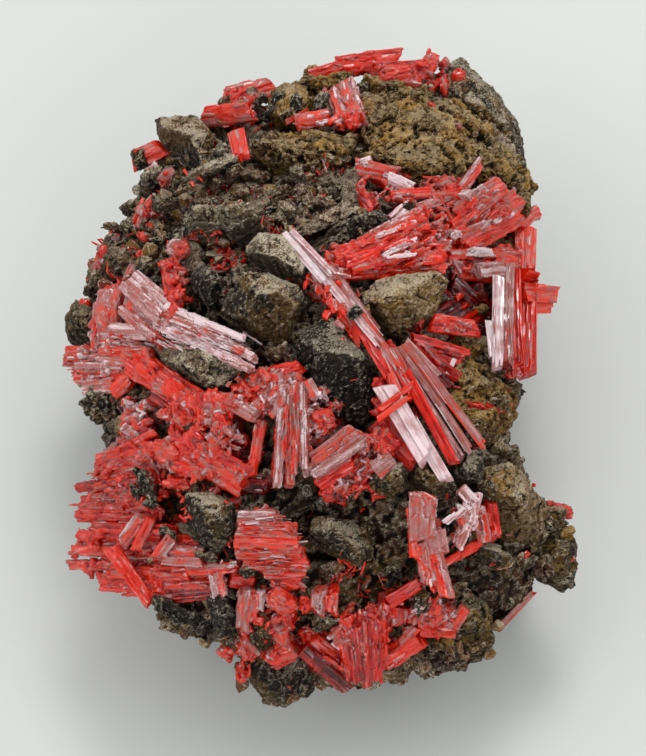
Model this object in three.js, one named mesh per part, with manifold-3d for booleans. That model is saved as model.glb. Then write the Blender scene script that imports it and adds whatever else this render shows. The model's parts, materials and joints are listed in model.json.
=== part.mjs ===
// Crocoite on matrix: a broken lump of brown-black gossan whose showy side carries angular rock
// clasts and sprays of red lead chromate crystals. Millimetres, +Z up, resting on its flat base.
//
// Every piece is placed on the "face", the showy side, which leans back from the front by
// FACE_LEAN. A place on it is [across, up, lift]: across runs left to right, up runs up the
// face, and lift stands above or below the rounded crown that the face follows.

import * as THREE from 'three';
import { ConvexGeometry } from 'three/addons/geometries/ConvexGeometry.js';
import { mergeVertices } from 'three/addons/utils/BufferGeometryUtils.js';
import Module from 'manifold-3d';

const wasm = await Module();
wasm.setup();

// ---------------------------------------------------------------- driving dimensions

const FACE_LEAN = THREE.MathUtils.degToRad(26);
const FACE_CENTRE = new THREE.Vector3(0.5, -2, 25);  // where [0, 0] of the face lies, at mid height
const CROWN_HEIGHT = 48;                           // highest part of the rounded crown
const CROWN_UP = 8;                                // how far up the face that highest part is
const FACE_HALF_WIDTH = 46;
const FALL_SIDE = 30;                              // drop of the crown to its left and right edges
const FALL_BACK = 19;                              // drop to the far edge
const FALL_FRONT = 33;                             // drop to the near edge
const REACH_BACK = 48;
const REACH_FRONT = 64;
const FALL_BLEND = 1.5;                            // 1 adds the two falls up, more rounds the corners
const SIDE_ROUNDING = 2.4;                         // power of the fall to the sides
const LONG_ROUNDING = 2;                           // power of the fall to the near and far edges

const MATRIX_SKIN = 2.5;                           // how far the groundmass lies under the crown
const BASE_TAPER = 1.45;                           // how quickly the sides draw in to the base
const MATRIX_DETAIL = 4;                           // how often the faces of the lump are halved
const SWELLS = { height: 1.2, across: 5.3, start: 0.6, up: 6.1 };   // broad, low unevenness
const RIPPLES = { height: 0.9, up: 3.7, across: 8.2 };              // shorter waves across it
const WOBBLE = { height: 0.03, across: 9, along: 7 };               // of the sides, as a share

const CORE = { across: 0.3, along: 0.6, height: 14 };  // where the roots of the clasts point
const ROOT_SHRINK = 0.6;

const PRISM_THICKNESS = 0.75;                      // of a crystal, as a share of its width
const PRISM_TAPER = 0.92;                          // width of its tip as a share of its foot
const TIP_SLANT = { ofWidth: 0.4, ofLength: 0.2 }; // the slant of its tip is the lesser of these

const GAP = 0.3;                                   // clearance between neighbouring pieces
const CLAST_SWELL = 0.5;                           // corner growth of a clast that cuts its socket
const SAME_CORNER = 1e-4;                          // corners closer than this are one
const GROUND_BLOCK = 300;                          // side of the block that keeps what is above the base

const COLOURS = {
  gossan: { color: 0x3a2c22, roughness: 0.9 },
  ironstone: { color: 0x453c35, roughness: 0.85 },
  limonite: { color: 0x6e4c20, roughness: 0.9 },
  crocoite: { color: 0xc92418, roughness: 0.35 },
  crocoite_pink: { color: 0xd8747a, roughness: 0.4 },
  crocoite_orange: { color: 0xe0431c, roughness: 0.35 },
};

// ---------------------------------------------------------------- the face

function crownHeight(across, up) {
  const side = FALL_SIDE * Math.pow(Math.abs(across) / FACE_HALF_WIDTH, SIDE_ROUNDING);
  const beyond = up - CROWN_UP;
  const along = beyond > 0
    ? FALL_BACK * Math.pow(beyond / REACH_BACK, LONG_ROUNDING)
    : FALL_FRONT * Math.pow(beyond / REACH_FRONT, LONG_ROUNDING);
  const fall = Math.pow(Math.pow(side, FALL_BLEND) + Math.pow(along, FALL_BLEND), 1 / FALL_BLEND);
  return CROWN_HEIGHT - fall;
}

function atHeight(across, up, height) {
  const rise = height - FACE_CENTRE.z;
  const y = (up - rise * Math.sin(FACE_LEAN)) / Math.cos(FACE_LEAN);
  return new THREE.Vector3(FACE_CENTRE.x + across, FACE_CENTRE.y + y, height);
}

function onFace([across, up, lift]) {
  return atHeight(across, up, crownHeight(across, up) + lift);
}

// ---------------------------------------------------------------- solids

function toSolid(geometry) {
  const bare = geometry.clone();
  bare.deleteAttribute('normal');
  bare.deleteAttribute('uv');
  const merged = mergeVertices(bare, SAME_CORNER);
  const indices = merged.index
    ? Uint32Array.from(merged.index.array)
    : Uint32Array.from({ length: merged.attributes.position.count }, (_, i) => i);
  return new wasm.Manifold(new wasm.Mesh({
    numProp: 3,
    vertProperties: Float32Array.from(merged.attributes.position.array),
    triVerts: indices,
  }));
}

function largestBody(solid) {
  const bodies = solid.decompose();
  return bodies.reduce((best, body) => (body.volume() > best.volume() ? body : best));
}

function hull(points) {
  return toSolid(new ConvexGeometry(points));
}

function centreOf(points) {
  const sum = new THREE.Vector3();
  points.forEach((point) => sum.add(point));
  return sum.divideScalar(points.length);
}

function swollen(points, growth) {
  const centre = centreOf(points);
  return points.map((point) => {
    const outward = point.clone().sub(centre).normalize();
    return point.clone().addScaledVector(outward, growth);
  });
}

function joined(solids) {
  return solids.reduce((sum, solid) => sum.add(solid));
}

// ---------------------------------------------------------------- rock clasts

// A clast is an angular block. Its rim is the outline seen on the face, its crest the corners
// that stand nearest, and its root the same outline drawn in and sunk towards the lump's core.
function clastPoints({ rim, crest, depth }) {
  const edge = rim.map(onFace);
  const middle = centreOf(edge);
  const core = new THREE.Vector3(CORE.across * middle.x, CORE.along * middle.y, CORE.height);
  const inward = core.sub(middle).normalize();
  const root = edge.map((corner) => middle.clone()
    .addScaledVector(corner.clone().sub(middle), ROOT_SHRINK)
    .addScaledVector(inward, depth));
  return [...edge, ...crest.map(onFace), ...root];
}

const CLASTS = [
  { name: 'clast_peak_block', stone: 'ironstone', depth: 11,
    rim: [[-15.3, 14.5, 5], [-12.5, 17, 7], [-1.3, 15.2, 6.5], [-0.8, 12.5, 5], [-1.5, 9, 4],
      [-4.5, 5.7, 2], [-8.2, 3.6, 1], [-11.3, 6.4, 1.5], [-15.7, 10.6, 1.5]],
    crest: [[-8.2, 19, 7.5], [-8.5, 14.6, 10], [-4.8, 11.5, 8], [-14, 14.2, 8]] },
  { name: 'clast_centre_block', stone: 'ironstone', depth: 10,
    rim: [[-4, 4.8, 3], [-1.2, 10, 3.5], [1.8, 10.3, 3.5], [6.7, 6.4, 4], [10.6, 0.6, 4],
      [11.6, -2.3, 3], [10.2, -6.5, 1.5], [8, -8.6, 1], [1.5, -4.8, 0.5], [-2.7, -1.5, 1]],
    crest: [[-1.2, 5.6, 8], [4, 5.4, 9.5], [8.2, 3.6, 8.5]] },
  { name: 'clast_upper_slab', stone: 'ironstone', depth: 7,
    rim: [[-12.2, 20.2, 3], [-9.3, 23.2, 4], [-4.5, 22.6, 4.5], [-0.8, 17.4, 4.5], [-1, 16, 5],
      [-7.7, 19.6, 5.5]],
    crest: [[-8, 21.5, 6.5], [-3.5, 20, 7]] },
  { name: 'clast_left_shoulder', stone: 'ironstone', depth: 9,
    rim: [[-21.4, 18.6, 3], [-18.2, 19.6, 4.5], [-16.3, 17, 5.5], [-16, 11, 2.5], [-20, 13.4, 1.5],
      [-21.6, 16.6, 2]],
    crest: [[-18.8, 18.4, 6], [-16.8, 15.5, 6.5]] },
  { name: 'clast_top_left_block', stone: 'ironstone', depth: 12,
    rim: [[-27, 43, 2], [-25.4, 44.2, 5], [-23, 44.6, 5], [-20.3, 44, 4.5], [-16.5, 39.7, 4.5],
      [-18, 37, 3], [-21, 34.8, 1], [-24.3, 37, 1], [-26.8, 40.6, 1.5]],
    crest: [[-25.4, 42.9, 7.5], [-24, 40.6, 8], [-21.9, 38.4, 8.5], [-19.5, 36.4, 7]] },
  { name: 'clast_roof_ridge', stone: 'ironstone', depth: 6,
    rim: [[-21, 34, 1.5], [-14.2, 38.4, 2.5], [-12.2, 34.6, 1.5], [-17.3, 32.6, 1]],
    crest: [[-19.6, 34.4, 4], [-14.6, 37.4, 5]] },
  { name: 'clast_outer_left_nub', stone: 'ironstone', depth: 7,
    rim: [[-30, 34.4, 1], [-27.8, 35, 2], [-25.4, 32.4, 1.5], [-28.4, 30.3, 0.5], [-29.6, 31.2, 0]],
    crest: [[-28, 33.4, 3]] },
  { name: 'clast_slope_slab_upper', stone: 'gossan', depth: 7,
    rim: [[-29.3, 29.6, 0], [-25.2, 30.6, 1], [-24, 26.8, 1.5], [-26, 22.9, 1], [-31.3, 23.6, 0],
      [-34.8, 24.2, -1]],
    crest: [[-28, 28, 3], [-27.5, 25, 3]] },
  { name: 'clast_slope_slab_lower', stone: 'gossan', depth: 7,
    rim: [[-36.7, 22.8, -1], [-31, 22.4, 0.5], [-27, 20.6, 1], [-28.4, 17.4, 0.5],
      [-33.5, 16.6, 0], [-38, 15.2, -1], [-39.8, 14.4, -2]],
    crest: [[-31, 20, 3], [-35, 18.6, 2]] },
  { name: 'clast_ridge_left', stone: 'ironstone', depth: 7,
    rim: [[-22.7, 23.3, 1.5], [-21.7, 26.4, 2], [-18.2, 28.2, 3], [-15.4, 28.2, 3], [-15.4, 23.4, 3],
      [-20.5, 23, 1.5]],
    crest: [[-20.6, 25.6, 5], [-16.8, 26.8, 6]] },
  { name: 'clast_ridge_right', stone: 'ironstone', depth: 7,
    rim: [[-14.4, 28.2, 3], [-12.5, 28.5, 3], [-7.3, 26.5, 3], [-7.7, 24.6, 2], [-11.7, 24.2, 2],
      [-14.8, 23.2, 1.5]],
    crest: [[-13, 27, 6.5], [-9.4, 26, 5.5]] },
  { name: 'clast_left_edge_limonite', stone: 'limonite', depth: 8,
    rim: [[-43.6, 10, -1], [-41, 12.8, 0], [-39.2, 12, 1], [-36.8, 10.8, 1], [-37, 5.7, 1],
      [-39.3, 4.2, -1], [-41.6, 4.5, -2], [-42.8, 6.5, -2]],
    crest: [[-40.4, 9.4, 3.5], [-38.2, 9, 3]] },
  { name: 'clast_speckled_slab', stone: 'ironstone', depth: 8,
    rim: [[-27, 6.8, 2], [-23, 7.2, 3], [-17, 5.2, 4], [-12.3, 3.2, 4], [-12.2, 0, 3],
      [-12.9, -2.5, 0.5], [-18.2, -1.6, 0.5], [-24.2, 1.4, 0.5], [-26.8, 4.1, 0.5]],
    crest: [[-25.8, 4.4, 4], [-22, 1.7, 5.4], [-17.6, -0.7, 6], [-13.4, -1.5, 5]] },
  { name: 'clast_limonite_right_centre', stone: 'limonite', depth: 9,
    rim: [[5.8, 14.5, 3], [9.3, 15.7, 3], [12.7, 16.2, 3.5], [18.7, 17.2, 3.5], [22.2, 16.2, 2.5],
      [20.4, 11.7, 2], [18.7, 9.3, 1.5], [15.5, 5.8, 1], [12.8, 7.6, 2], [9.3, 10.4, 2.5]],
    crest: [[10.5, 13, 4.6], [14.5, 12.2, 5.2], [18.8, 12, 4.6], [16, 7.8, 3.8]] },
  { name: 'clast_ochre_mass', stone: 'limonite', depth: 10,
    rim: [[7.3, 45, 0.5], [8.2, 47.6, 1], [13.2, 48, 1], [19, 47.3, 1], [23, 46.8, 1],
      [28.4, 42.2, 1], [33.6, 36, 0], [37.6, 32, -1], [35.7, 30.2, 0], [30.7, 31.8, 1],
      [17.3, 31.8, 1], [12.3, 34.2, 1], [8.7, 36.2, 1], [7.6, 41, 1]],
    crest: [[12, 43, 3.6], [20.5, 43.4, 4], [12.4, 36.4, 4.4], [20.5, 34.8, 5.2], [29, 34.6, 3.6]] },
  { name: 'clast_back_right_crust', stone: 'ironstone', depth: 11,
    rim: [[22.4, 53.4, -1], [24.8, 54.6, -1], [27.2, 51.7, 0], [29.4, 49.2, 0], [31.8, 46.7, 0],
      [34.2, 43.2, -1], [34.6, 40, -1], [35.7, 35, -2], [29.8, 42.6, 1], [25.8, 45.7, 2],
      [23.2, 48.2, 1]],
    crest: [[25.8, 50.4, 3], [29.6, 46, 4], [33, 41, 2.5]] },
  { name: 'clast_ochre_ridge', stone: 'limonite', depth: 8,
    rim: [[-10.2, 38.8, 1], [-7.7, 40.8, 2], [-2.7, 41.2, 2], [2.3, 40.6, 2], [6.4, 40, 1.5],
      [6.2, 37.7, 1.5], [2.3, 35.2, 1], [-1, 33.2, 1], [-5.2, 34.7, 1], [-9, 36.8, 0.5]],
    crest: [[-6.4, 37.4, 3.8], [0, 36.8, 4.8], [-2, 34.8, 3.6]] },
  { name: 'clast_back_gold_block', stone: 'limonite', depth: 8,
    rim: [[-7.3, 49, -1], [-5, 49.8, 0], [-1.6, 48.4, 1], [-1.6, 44, 1], [-5, 43, 1], [-7.4, 45, 0]],
    crest: [[-4.4, 47.4, 3.5], [-3, 45, 3.5]] },
  { name: 'clast_black_nodules', stone: 'ironstone', depth: 5,
    rim: [[5.6, 25.6, 2], [7, 26.6, 3], [11.8, 27, 2.5], [12.2, 24.4, 2], [9, 22.8, 2],
      [6, 23.6, 1.5]],
    crest: [[7.4, 25.2, 4.5], [10.6, 25.6, 4.5]] },
  { name: 'clast_lower_centre_block', stone: 'ironstone', depth: 9,
    rim: [[-1, -22.4, 2], [2, -22.8, 3], [6.3, -23.8, 4], [10.2, -26.5, 3], [10.2, -30.4, 1],
      [8.5, -32.2, 0], [3.5, -29.8, 1], [-0.6, -28, 1]],
    crest: [[-0.8, -25.2, 6], [4.8, -26.8, 7.5], [8.8, -28.2, 6]] },
  { name: 'clast_lower_left_block', stone: 'ironstone', depth: 9,
    rim: [[-23, -19.8, 3], [-21.2, -19, 3.5], [-15.2, -18.8, 4], [-13.7, -20.3, 4],
      [-13, -23.8, 3.5], [-13.6, -27.8, 2], [-15.3, -28.8, 1.5], [-17.5, -28.3, 1.5],
      [-20.5, -25, 2], [-22.8, -22.2, 2]],
    crest: [[-20, -20.8, 6.5], [-16.6, -20.6, 7.5], [-15.2, -24.6, 6]] },
  { name: 'clast_right_dark_block', stone: 'ironstone', depth: 8,
    rim: [[22, -15.6, 2], [24.8, -11.6, 3], [26.4, -12.2, 3.5], [28.2, -14.2, 4],
      [27.2, -17.6, 3], [23.8, -17.6, 2.5]],
    crest: [[24.4, -14.4, 6], [27, -15.4, 6.5]] },
  { name: 'clast_right_tan_block', stone: 'limonite', depth: 10,
    rim: [[28.8, -14.4, 3], [31.5, -14.3, 2], [33.7, -15.8, 1], [37.3, -20.7, 0], [38.5, -23, 0],
      [38, -25.7, -1], [36.6, -28, -1], [31.8, -27.4, 0], [29.6, -25.4, 1.5], [28.4, -20.3, 3]],
    crest: [[29.2, -17.6, 6], [30, -20.2, 6.5], [35.4, -22.6, 5.5], [36.6, -25.2, 3]] },
  { name: 'clast_small_dark_block', stone: 'ironstone', depth: 7,
    rim: [[27.2, -27.6, 2], [31.8, -28.6, 2], [33.6, -29.6, 1], [32.8, -33.2, 0], [29.3, -32, 0],
      [27.6, -30, 1]],
    crest: [[29.4, -28.8, 4.5], [31.6, -30.4, 4.5]] },
  { name: 'clast_right_edge_knob', stone: 'limonite', depth: 8,
    rim: [[38.6, -25, 0], [41.7, -25.2, 0], [43, -28.5, 0], [43.4, -31.3, -1], [43, -35.7, -2],
      [41.7, -36.2, -2], [39, -34.8, -1], [37.3, -31.7, 0], [36.8, -29, 0]],
    crest: [[40.6, -28, 3.5], [39.6, -31.5, 3], [41.4, -34, 1.5]] },
  { name: 'clast_lower_limonite_block', stone: 'limonite', depth: 11,
    rim: [[17.7, -42.5, 1], [25.3, -36.6, 2], [30.8, -37.3, 1], [31.2, -44, -2], [29.3, -46.2, -3],
      [27.7, -48.4, -4], [24, -47.3, -3.5], [18, -48.3, -3.5], [14, -47.7, -3]],
    crest: [[25.3, -39.4, 3], [27.2, -43.4, 1.5], [20, -43.6, 2]] },
  { name: 'clast_bottom_block', stone: 'ironstone', depth: 10,
    rim: [[-13.7, -48, -1], [-10.2, -47.4, 0], [-3.3, -47.4, 0], [-1, -49, -1], [-1.4, -52.4, -3],
      [-4.8, -55.3, -4], [-8.5, -54.5, -4], [-11.7, -52.5, -3], [-13.5, -50.2, -2]],
    crest: [[-10, -50, 1], [-5, -50.4, 1.5]] },
  { name: 'clast_grey_sliver', stone: 'ironstone', depth: 6,
    rim: [[-18.6, -33.6, 2], [-16.5, -34.4, 3], [-12.9, -39.7, 2.5], [-13.1, -43.6, 0],
      [-16.5, -43.2, -1], [-18, -38.8, 0]],
    crest: [[-15.6, -37.4, 4.5], [-14, -41, 3]] },
  { name: 'clast_mid_shard_left', stone: 'ironstone', depth: 7,
    rim: [[8.8, -17.4, 2], [11.5, -14.6, 2.5], [14.8, -13.4, 3], [15.4, -15.2, 3.5],
      [14.6, -18.2, 3], [13.2, -20.8, 2], [10.7, -20.8, 1.5], [9.4, -19.6, 1.5]],
    crest: [[12.6, -16.2, 6], [13.2, -18.4, 5.5]] },
  { name: 'clast_mid_shard_right', stone: 'ironstone', depth: 7,
    rim: [[16.5, -13.8, 3], [18.7, -13.4, 3], [20.7, -16, 3], [23.4, -18.4, 2.5], [22.8, -20.2, 2],
      [20, -20.2, 2], [16.8, -18.8, 2]],
    crest: [[18, -15.4, 6], [20.6, -18, 5.5]] },
  { name: 'clast_right_ochre_lumps', stone: 'limonite', depth: 8,
    rim: [[21, 4, 0], [25, 3.4, 0.5], [29, 0, 0], [33.2, -3.2, -1.5], [32.8, -6.5, -2],
      [31.5, -9.3, -1], [27.3, -10.4, 1], [24, -7.3, 1], [21.5, -3.2, 0.5]],
    crest: [[25.4, 0, 3], [29, -4, 2.5], [27, -7.6, 3]] },
];

// ---------------------------------------------------------------- crystals

// A prism is a four-sided crystal with a slanted tip. It runs from one place on the face to
// another, wide across the face and thick out of it; extra grows it all round.
function prismPoints([from, to, wide, thick = PRISM_THICKNESS * wide], extra = 0) {
  const foot = onFace(from);
  const tip = onFace(to);
  const along = tip.clone().sub(foot).normalize();
  const outward = new THREE.Vector3(0, -Math.sin(FACE_LEAN), Math.cos(FACE_LEAN));
  const sideways = new THREE.Vector3().crossVectors(along, outward).normalize();
  const through = new THREE.Vector3().crossVectors(sideways, along).normalize();
  const length = tip.distanceTo(foot) + 2 * extra;
  const start = foot.clone().addScaledVector(along, -extra);
  const slant = Math.min(TIP_SLANT.ofWidth * wide, TIP_SLANT.ofLength * length);
  const points = [];
  for (const [side, out] of [[-1, -1], [1, -1], [1, 1], [-1, 1]]) {
    for (const distance of [0, side > 0 ? length : length - slant]) {
      const taper = distance > 0 ? PRISM_TAPER : 1;
      points.push(start.clone()
        .addScaledVector(along, distance)
        .addScaledVector(sideways, side * (taper * wide / 2 + extra))
        .addScaledVector(through, out * (taper * thick / 2 + extra)));
    }
  }
  return points;
}

const CRYSTALS = [
  { name: 'crocoite_long_lath_bundle', hue: 'crocoite_pink', prisms: [
    [[-4.6, 23.4, 5], [11, 5, 5.5], 2.4], [[1, 17.4, 3.5], [12, 2, 4], 4.6, 4],
    [[9.4, 5, 4], [18.6, -13.4, 6], 3.2], [[10.6, 3.6, 3.5], [21.4, -16.8, 5], 3.4],
    [[12.6, 4, 4], [24.6, -12.4, 5.5], 5.2], [[9, -3.4, 1.5], [17.4, -13, 2], 4],
    [[10.8, -6, 7.4], [15.8, -1, 9], 1.8], [[11.6, -3.6, 7.4], [15.2, 0, 8.6], 1.4],
    [[10.6, -7.2, 7], [14, -3, 8], 1.8]] },
  { name: 'crocoite_centre_right_fan', hue: 'crocoite_pink', prisms: [
    [[2.6, 17.6, 2], [22.6, 20.4, 3.5], 4.4], [[3, 18.4, 2.5], [15, 24.8, 4.5], 4],
    [[5, 16.4, 1.5], [22.4, 17.6, 3], 3], [[9.4, 22.4, 2], [17.6, 27, 4], 3.4],
    [[13, 22, 2], [22.4, 23.6, 2.5], 4]] },
  { name: 'crocoite_thick_bundle', hue: 'crocoite', prisms: [
    [[22, 22.8, 2.5], [35, 30, 2.5], 5.6, 5], [[20.6, 25.2, 2.5], [31, 31.6, 4], 4.6, 4],
    [[24, 22.4, 3.4], [33.6, 26.6, 4], 3.6], [[17, 31.4, 1.5], [24.4, 33.6, 3], 2.6],
    [[24.4, 31, 2.5], [27.8, 35.6, 4.5], 1.8], [[19, 28.6, 1], [26, 30, 3], 4],
    [[21.4, 19.4, 2], [33.4, 19.4, 1.5], 3, 3.4], [[22.6, 17.4, 0], [30, 17, 0], 2.6],
    [[26, 20.4, 1], [35.4, 21.6, 0.5], 2.4]] },
  { name: 'crocoite_right_columns', hue: 'crocoite', prisms: [
    [[30.2, 16.4, 3], [29.4, 0.6, 4.5], 3.6, 3], [[32.8, 19, 2.6], [32.4, 0, 3.6], 2.6],
    [[35.4, 23.6, 0], [34.8, 0.4, 2], 4.2, 5], [[34.8, 8.6, 3.5], [34.6, 0, 4.4], 2],
    [[34.6, 14, 1.5], [39.6, 13, 1.5], 5, 4.6], [[34.4, 17.6, 2], [37.6, 14.6, 2], 2.6]] },
  { name: 'crocoite_vug_wall', hue: 'crocoite', prisms: [
    [[22, 14.6, -2.5], [28, 8, -4.5], 6, 4], [[19.4, 9.2, 1], [26.2, 6.6, 1.5], 2.6],
    [[20, 8, 0], [28.4, 13.6, -3], 5, 3],
    [[15.2, 5.4, 1], [25, 2.4, 1.6], 2.6], [[15.4, 4.6, 1], [23.4, -0.4, 1.4], 3],
    [[16, 3.4, 0.6], [20.6, -2.6, 1], 2.4]] },
  { name: 'crocoite_back_edge_laths', hue: 'crocoite', prisms: [
    [[-1.6, 50.6, -1], [4.4, 52.4, 0], 2.6], [[3.6, 52, -0.5], [13.6, 54, 1], 3.6],
    [[10, 50.6, 0], [18.6, 51.6, 0.5], 5.4, 4], [[17.4, 50.6, 0], [20.8, 55, 2], 3.4],
    [[18.4, 50, 0], [24.4, 50.6, 1], 3], [[13, 50, 0], [20, 48.6, 1], 3.6]] },
  { name: 'crocoite_back_left_plates', hue: 'crocoite', prisms: [
    [[-19.6, 43.6, 1.5], [-10.4, 44.6, 1.5], 2.8], [[-14.4, 46.4, 0], [-6.2, 49, 0], 3.4],
    [[-13, 45, 0.5], [-9.6, 48.6, 0.5], 2.6]] },
  { name: 'crocoite_back_chunk', hue: 'crocoite_pink', prisms: [
    [[2.6, 47.4, 2.5], [6.6, 41.2, 4], 5, 4.6], [[-3.6, 42, 3], [4, 44.4, 4], 2.4],
    [[0.4, 46, 2], [5, 46, 4], 3.4]] },
  { name: 'crocoite_pale_lath', hue: 'crocoite_pink', prisms: [
    [[6.6, 35, 1.6], [15.2, 32.6, 2.5], 2], [[7, 32.6, 0], [13.6, 31.2, 1.5], 2.4],
    [[6.8, 30.2, 1], [10.6, 27.6, 2], 2.4], [[8.6, 30.4, 1.5], [16, 28.8, 3], 2],
    [[8, 34, 0], [9, 29, 0.5], 3]] },
  { name: 'crocoite_small_left_slab', hue: 'crocoite_pink', prisms: [
    [[-30.6, 36.2, 0], [-25.6, 38.4, 0.5], 3], [[-29.4, 35.6, 0.5], [-24.6, 33.6, 1], 1.6]] },
  { name: 'crocoite_smooth_slab', hue: 'crocoite_pink', prisms: [
    [[-34, 15.4, 1], [-35.4, 5, 1.6], 5.6, 3], [[-35.6, 13, 0], [-36, 4.6, 1], 3.6],
    [[-32.6, 12.4, 1.5], [-28.4, 12, 2.5], 2.8]] },
  { name: 'crocoite_fibrous_sweep', hue: 'crocoite_pink', prisms: [
    [[-26.6, 9.6, 3.5], [-9.4, 1.6, 5.6], 3.6, 2.6], [[-30, 13.6, 3], [-23.6, 10.2, 4], 5.4, 3.4],
    [[-35.4, 3.6, 0.6], [-24.8, 9, 3], 5, 3.4], [[-29, 8, 3], [-12.6, 4.4, 5], 3, 2.2]] },
  { name: 'crocoite_red_column', hue: 'crocoite', prisms: [
    [[-24.4, 19, 2.5], [-22.6, 12, 4], 3.6, 3.6], [[-23, 18, 2], [-22.4, 13.6, 4.6], 2.4],
    [[-26, 20.6, 1], [-22.6, 21.6, 2.5], 3]] },
  { name: 'crocoite_left_blades', hue: 'crocoite_pink', prisms: [
    [[-33.4, 3.6, -0.5], [-42.8, 1, -3], 4.4, 3.4], [[-33, 1, 0], [-41.4, -2, -3], 3.6],
    [[-32.4, -0.6, 0.5], [-37.6, -3.4, -2], 3.4]] },
  { name: 'crocoite_red_band', hue: 'crocoite_orange', prisms: [
    [[-30, 2.6, 2], [-15, -5, 4], 4.6, 4], [[-26, -1.6, 2.5], [-16.4, -6.4, 4], 4.4, 3.6],
    [[-22, -4.4, 2], [-9, -3.4, 3.5], 4, 3.4], [[-14, -3.6, 3], [-2, -4.4, 3], 4.4, 3.4],
    [[-10, -1.6, 2], [-2, 0.4, 2.5], 4.4, 3]] },
  { name: 'crocoite_faceted_chunk', hue: 'crocoite', prisms: [
    [[-28.4, -11.4, 2.6], [-20.4, -13.4, 4.5], 5.6, 4.6], [[-23, -9.4, 2], [-16, -12.4, 3.6], 5, 4],
    [[-20.6, -12, 2], [-11, -17.4, 1], 4.4, 4], [[-19, -8, 2], [-12, -12, 2], 4.6, 3.6]] },
  { name: 'crocoite_left_spray', hue: 'crocoite', prisms: [
    [[-26.4, -12.6, 1], [-35.6, -14.4, -1.5], 3.6, 3], [[-26, -16.4, 1], [-36, -17.6, -1], 3.6, 3],
    [[-25.6, -19.4, 1], [-40, -20.8, -1.5], 3.4, 3], [[-25.6, -21.6, 0.5], [-40.2, -23.4, -2], 2.6],
    [[-26, -9.6, 2.5], [-32, -12.8, 1.5], 1.7],
    [[-33, -5, 0.5], [-27, -9.6, 2], 4.6, 4], [[-33.6, -8, -0.5], [-26, -12, 2], 4, 4]] },
  { name: 'crocoite_left_lower_prisms', hue: 'crocoite', prisms: [
    [[-18, -27, 1.5], [-38, -26, -1], 3.4, 3.6], [[-13, -29.4, 1.5], [-40.4, -28.6, -1.5], 4, 4],
    [[-12.6, -32, 1], [-39.4, -31.2, -1.5], 3.4, 3.6], [[-18.6, -33.6, 0], [-36, -33.8, -2.5], 3, 3],
    [[-13, -34.4, 0.5], [-28, -35.6, -2], 3, 3],
    [[-33.4, -27.6, 3], [-26, -38.2, 1.5], 2.4, 2.2], [[-32, -30, 2.5], [-27.6, -36.6, 1.6], 1.8],
    [[-27.8, -22.6, 4], [-31.6, -27, 5], 3, 2.6], [[-24.6, -26, 3.4], [-21.6, -29.8, 4], 2.2]] },
  { name: 'crocoite_centre_column', hue: 'crocoite', prisms: [
    [[-3.2, -2.6, 2.6], [-4.6, -18.4, 4], 4.4, 4], [[-1.2, -5, 3], [-2.4, -17, 4], 2.4],
    [[-1, -1.4, 5], [0.4, -4, 5], 1.6]] },
  { name: 'crocoite_diagonal_bundle', hue: 'crocoite', prisms: [
    [[-0.6, -16, 2.5], [8.8, -9.4, 4.5], 3.6, 3.4], [[0, -14, 3], [7.4, -8.8, 4.4], 2.2],
    [[-0.6, -18.6, 1], [8.6, -17.6, 2], 5, 4], [[8, -8.6, 3], [12.6, -12.6, 4], 4, 3],
    [[3, -20, 1], [9, -13, 2], 3.6]] },
  { name: 'crocoite_fibrous_slab', hue: 'crocoite_orange', prisms: [
    [[-12.4, -23.6, 2], [-3, -23.6, 3.5], 4, 3.6], [[-12.4, -26.6, 2.5], [-1.6, -27.4, 4], 4, 3.6],
    [[-12.4, -29.8, 2], [-1.4, -31, 3.5], 4, 3.6]] },
  { name: 'crocoite_lower_left_blocks', hue: 'crocoite', prisms: [
    [[-10.6, -34.6, 2], [-10.8, -41, 2], 3.4, 3], [[-8, -34.6, 2], [-1.6, -38.2, 3.5], 5, 4.4],
    [[-2, -36.6, 2], [3.6, -37, 3.5], 4, 3.4], [[-9.6, -41.6, 1], [-3.6, -46.4, 2], 5.4, 4.4],
    [[-11, -44, 0], [-12.6, -50, 0], 3.4, 3.4], [[-6, -38, 1], [-6, -44, 2], 5, 4]] },
  { name: 'crocoite_bottom_fan', hue: 'crocoite', prisms: [
    [[0, -41, 2], [5.6, -49.2, 0.5], 5.4, 4.4], [[7, -38.6, 2.5], [7.6, -49.8, 1], 5.6, 5],
    [[9.6, -38.4, 2], [11, -47.4, 1.5], 4.4, 4], [[16.6, -41.4, 1.5], [11.8, -48.4, 0], 4.4, 4],
    [[4, -40.6, 3], [3.6, -47.4, 2], 3.4, 3], [[4, -40, 1.5], [13, -40, 2], 3, 3]] },
  { name: 'crocoite_brown_plate', hue: 'crocoite_pink', prisms: [
    [[17, -19.6, 4.5], [17.8, -28, 5], 4, 1.8], [[16.8, -27, 3.4], [20.6, -35.6, 3.4], 3.2, 2.4],
    [[18.4, -24, 4], [21, -28, 4.4], 3.4, 1.8]] },
  { name: 'crocoite_right_druse', hue: 'crocoite_pink', prisms: [
    [[25.6, -19, 3.4], [23.6, -26.4, 4.4], 3.4, 2.6], [[21.6, -22.4, 3], [26.4, -21, 4.5], 2.6],
    [[27.4, -19.6, 2.5], [27.8, -26, 4], 2.4], [[20.4, -30.6, 1.5], [27, -26.6, 3], 2]] },
  { name: 'crocoite_lower_wedge', hue: 'crocoite', prisms: [
    [[15.6, -38, 2], [24.4, -40, 3], 3.4, 3], [[12, -36.6, 2], [20, -36, 3], 2.6],
    [[18.6, -38.6, 1.6], [17.6, -42.4, 2.6], 3]] },
  { name: 'crocoite_right_edge_cap', hue: 'crocoite', prisms: [
    [[38.6, -21.6, 1], [42.6, -22.8, 1], 2.4, 3.4], [[38.4, -23, 0], [41.6, -24, 0.5], 2]] },
];

// ---------------------------------------------------------------- matrix

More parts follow.
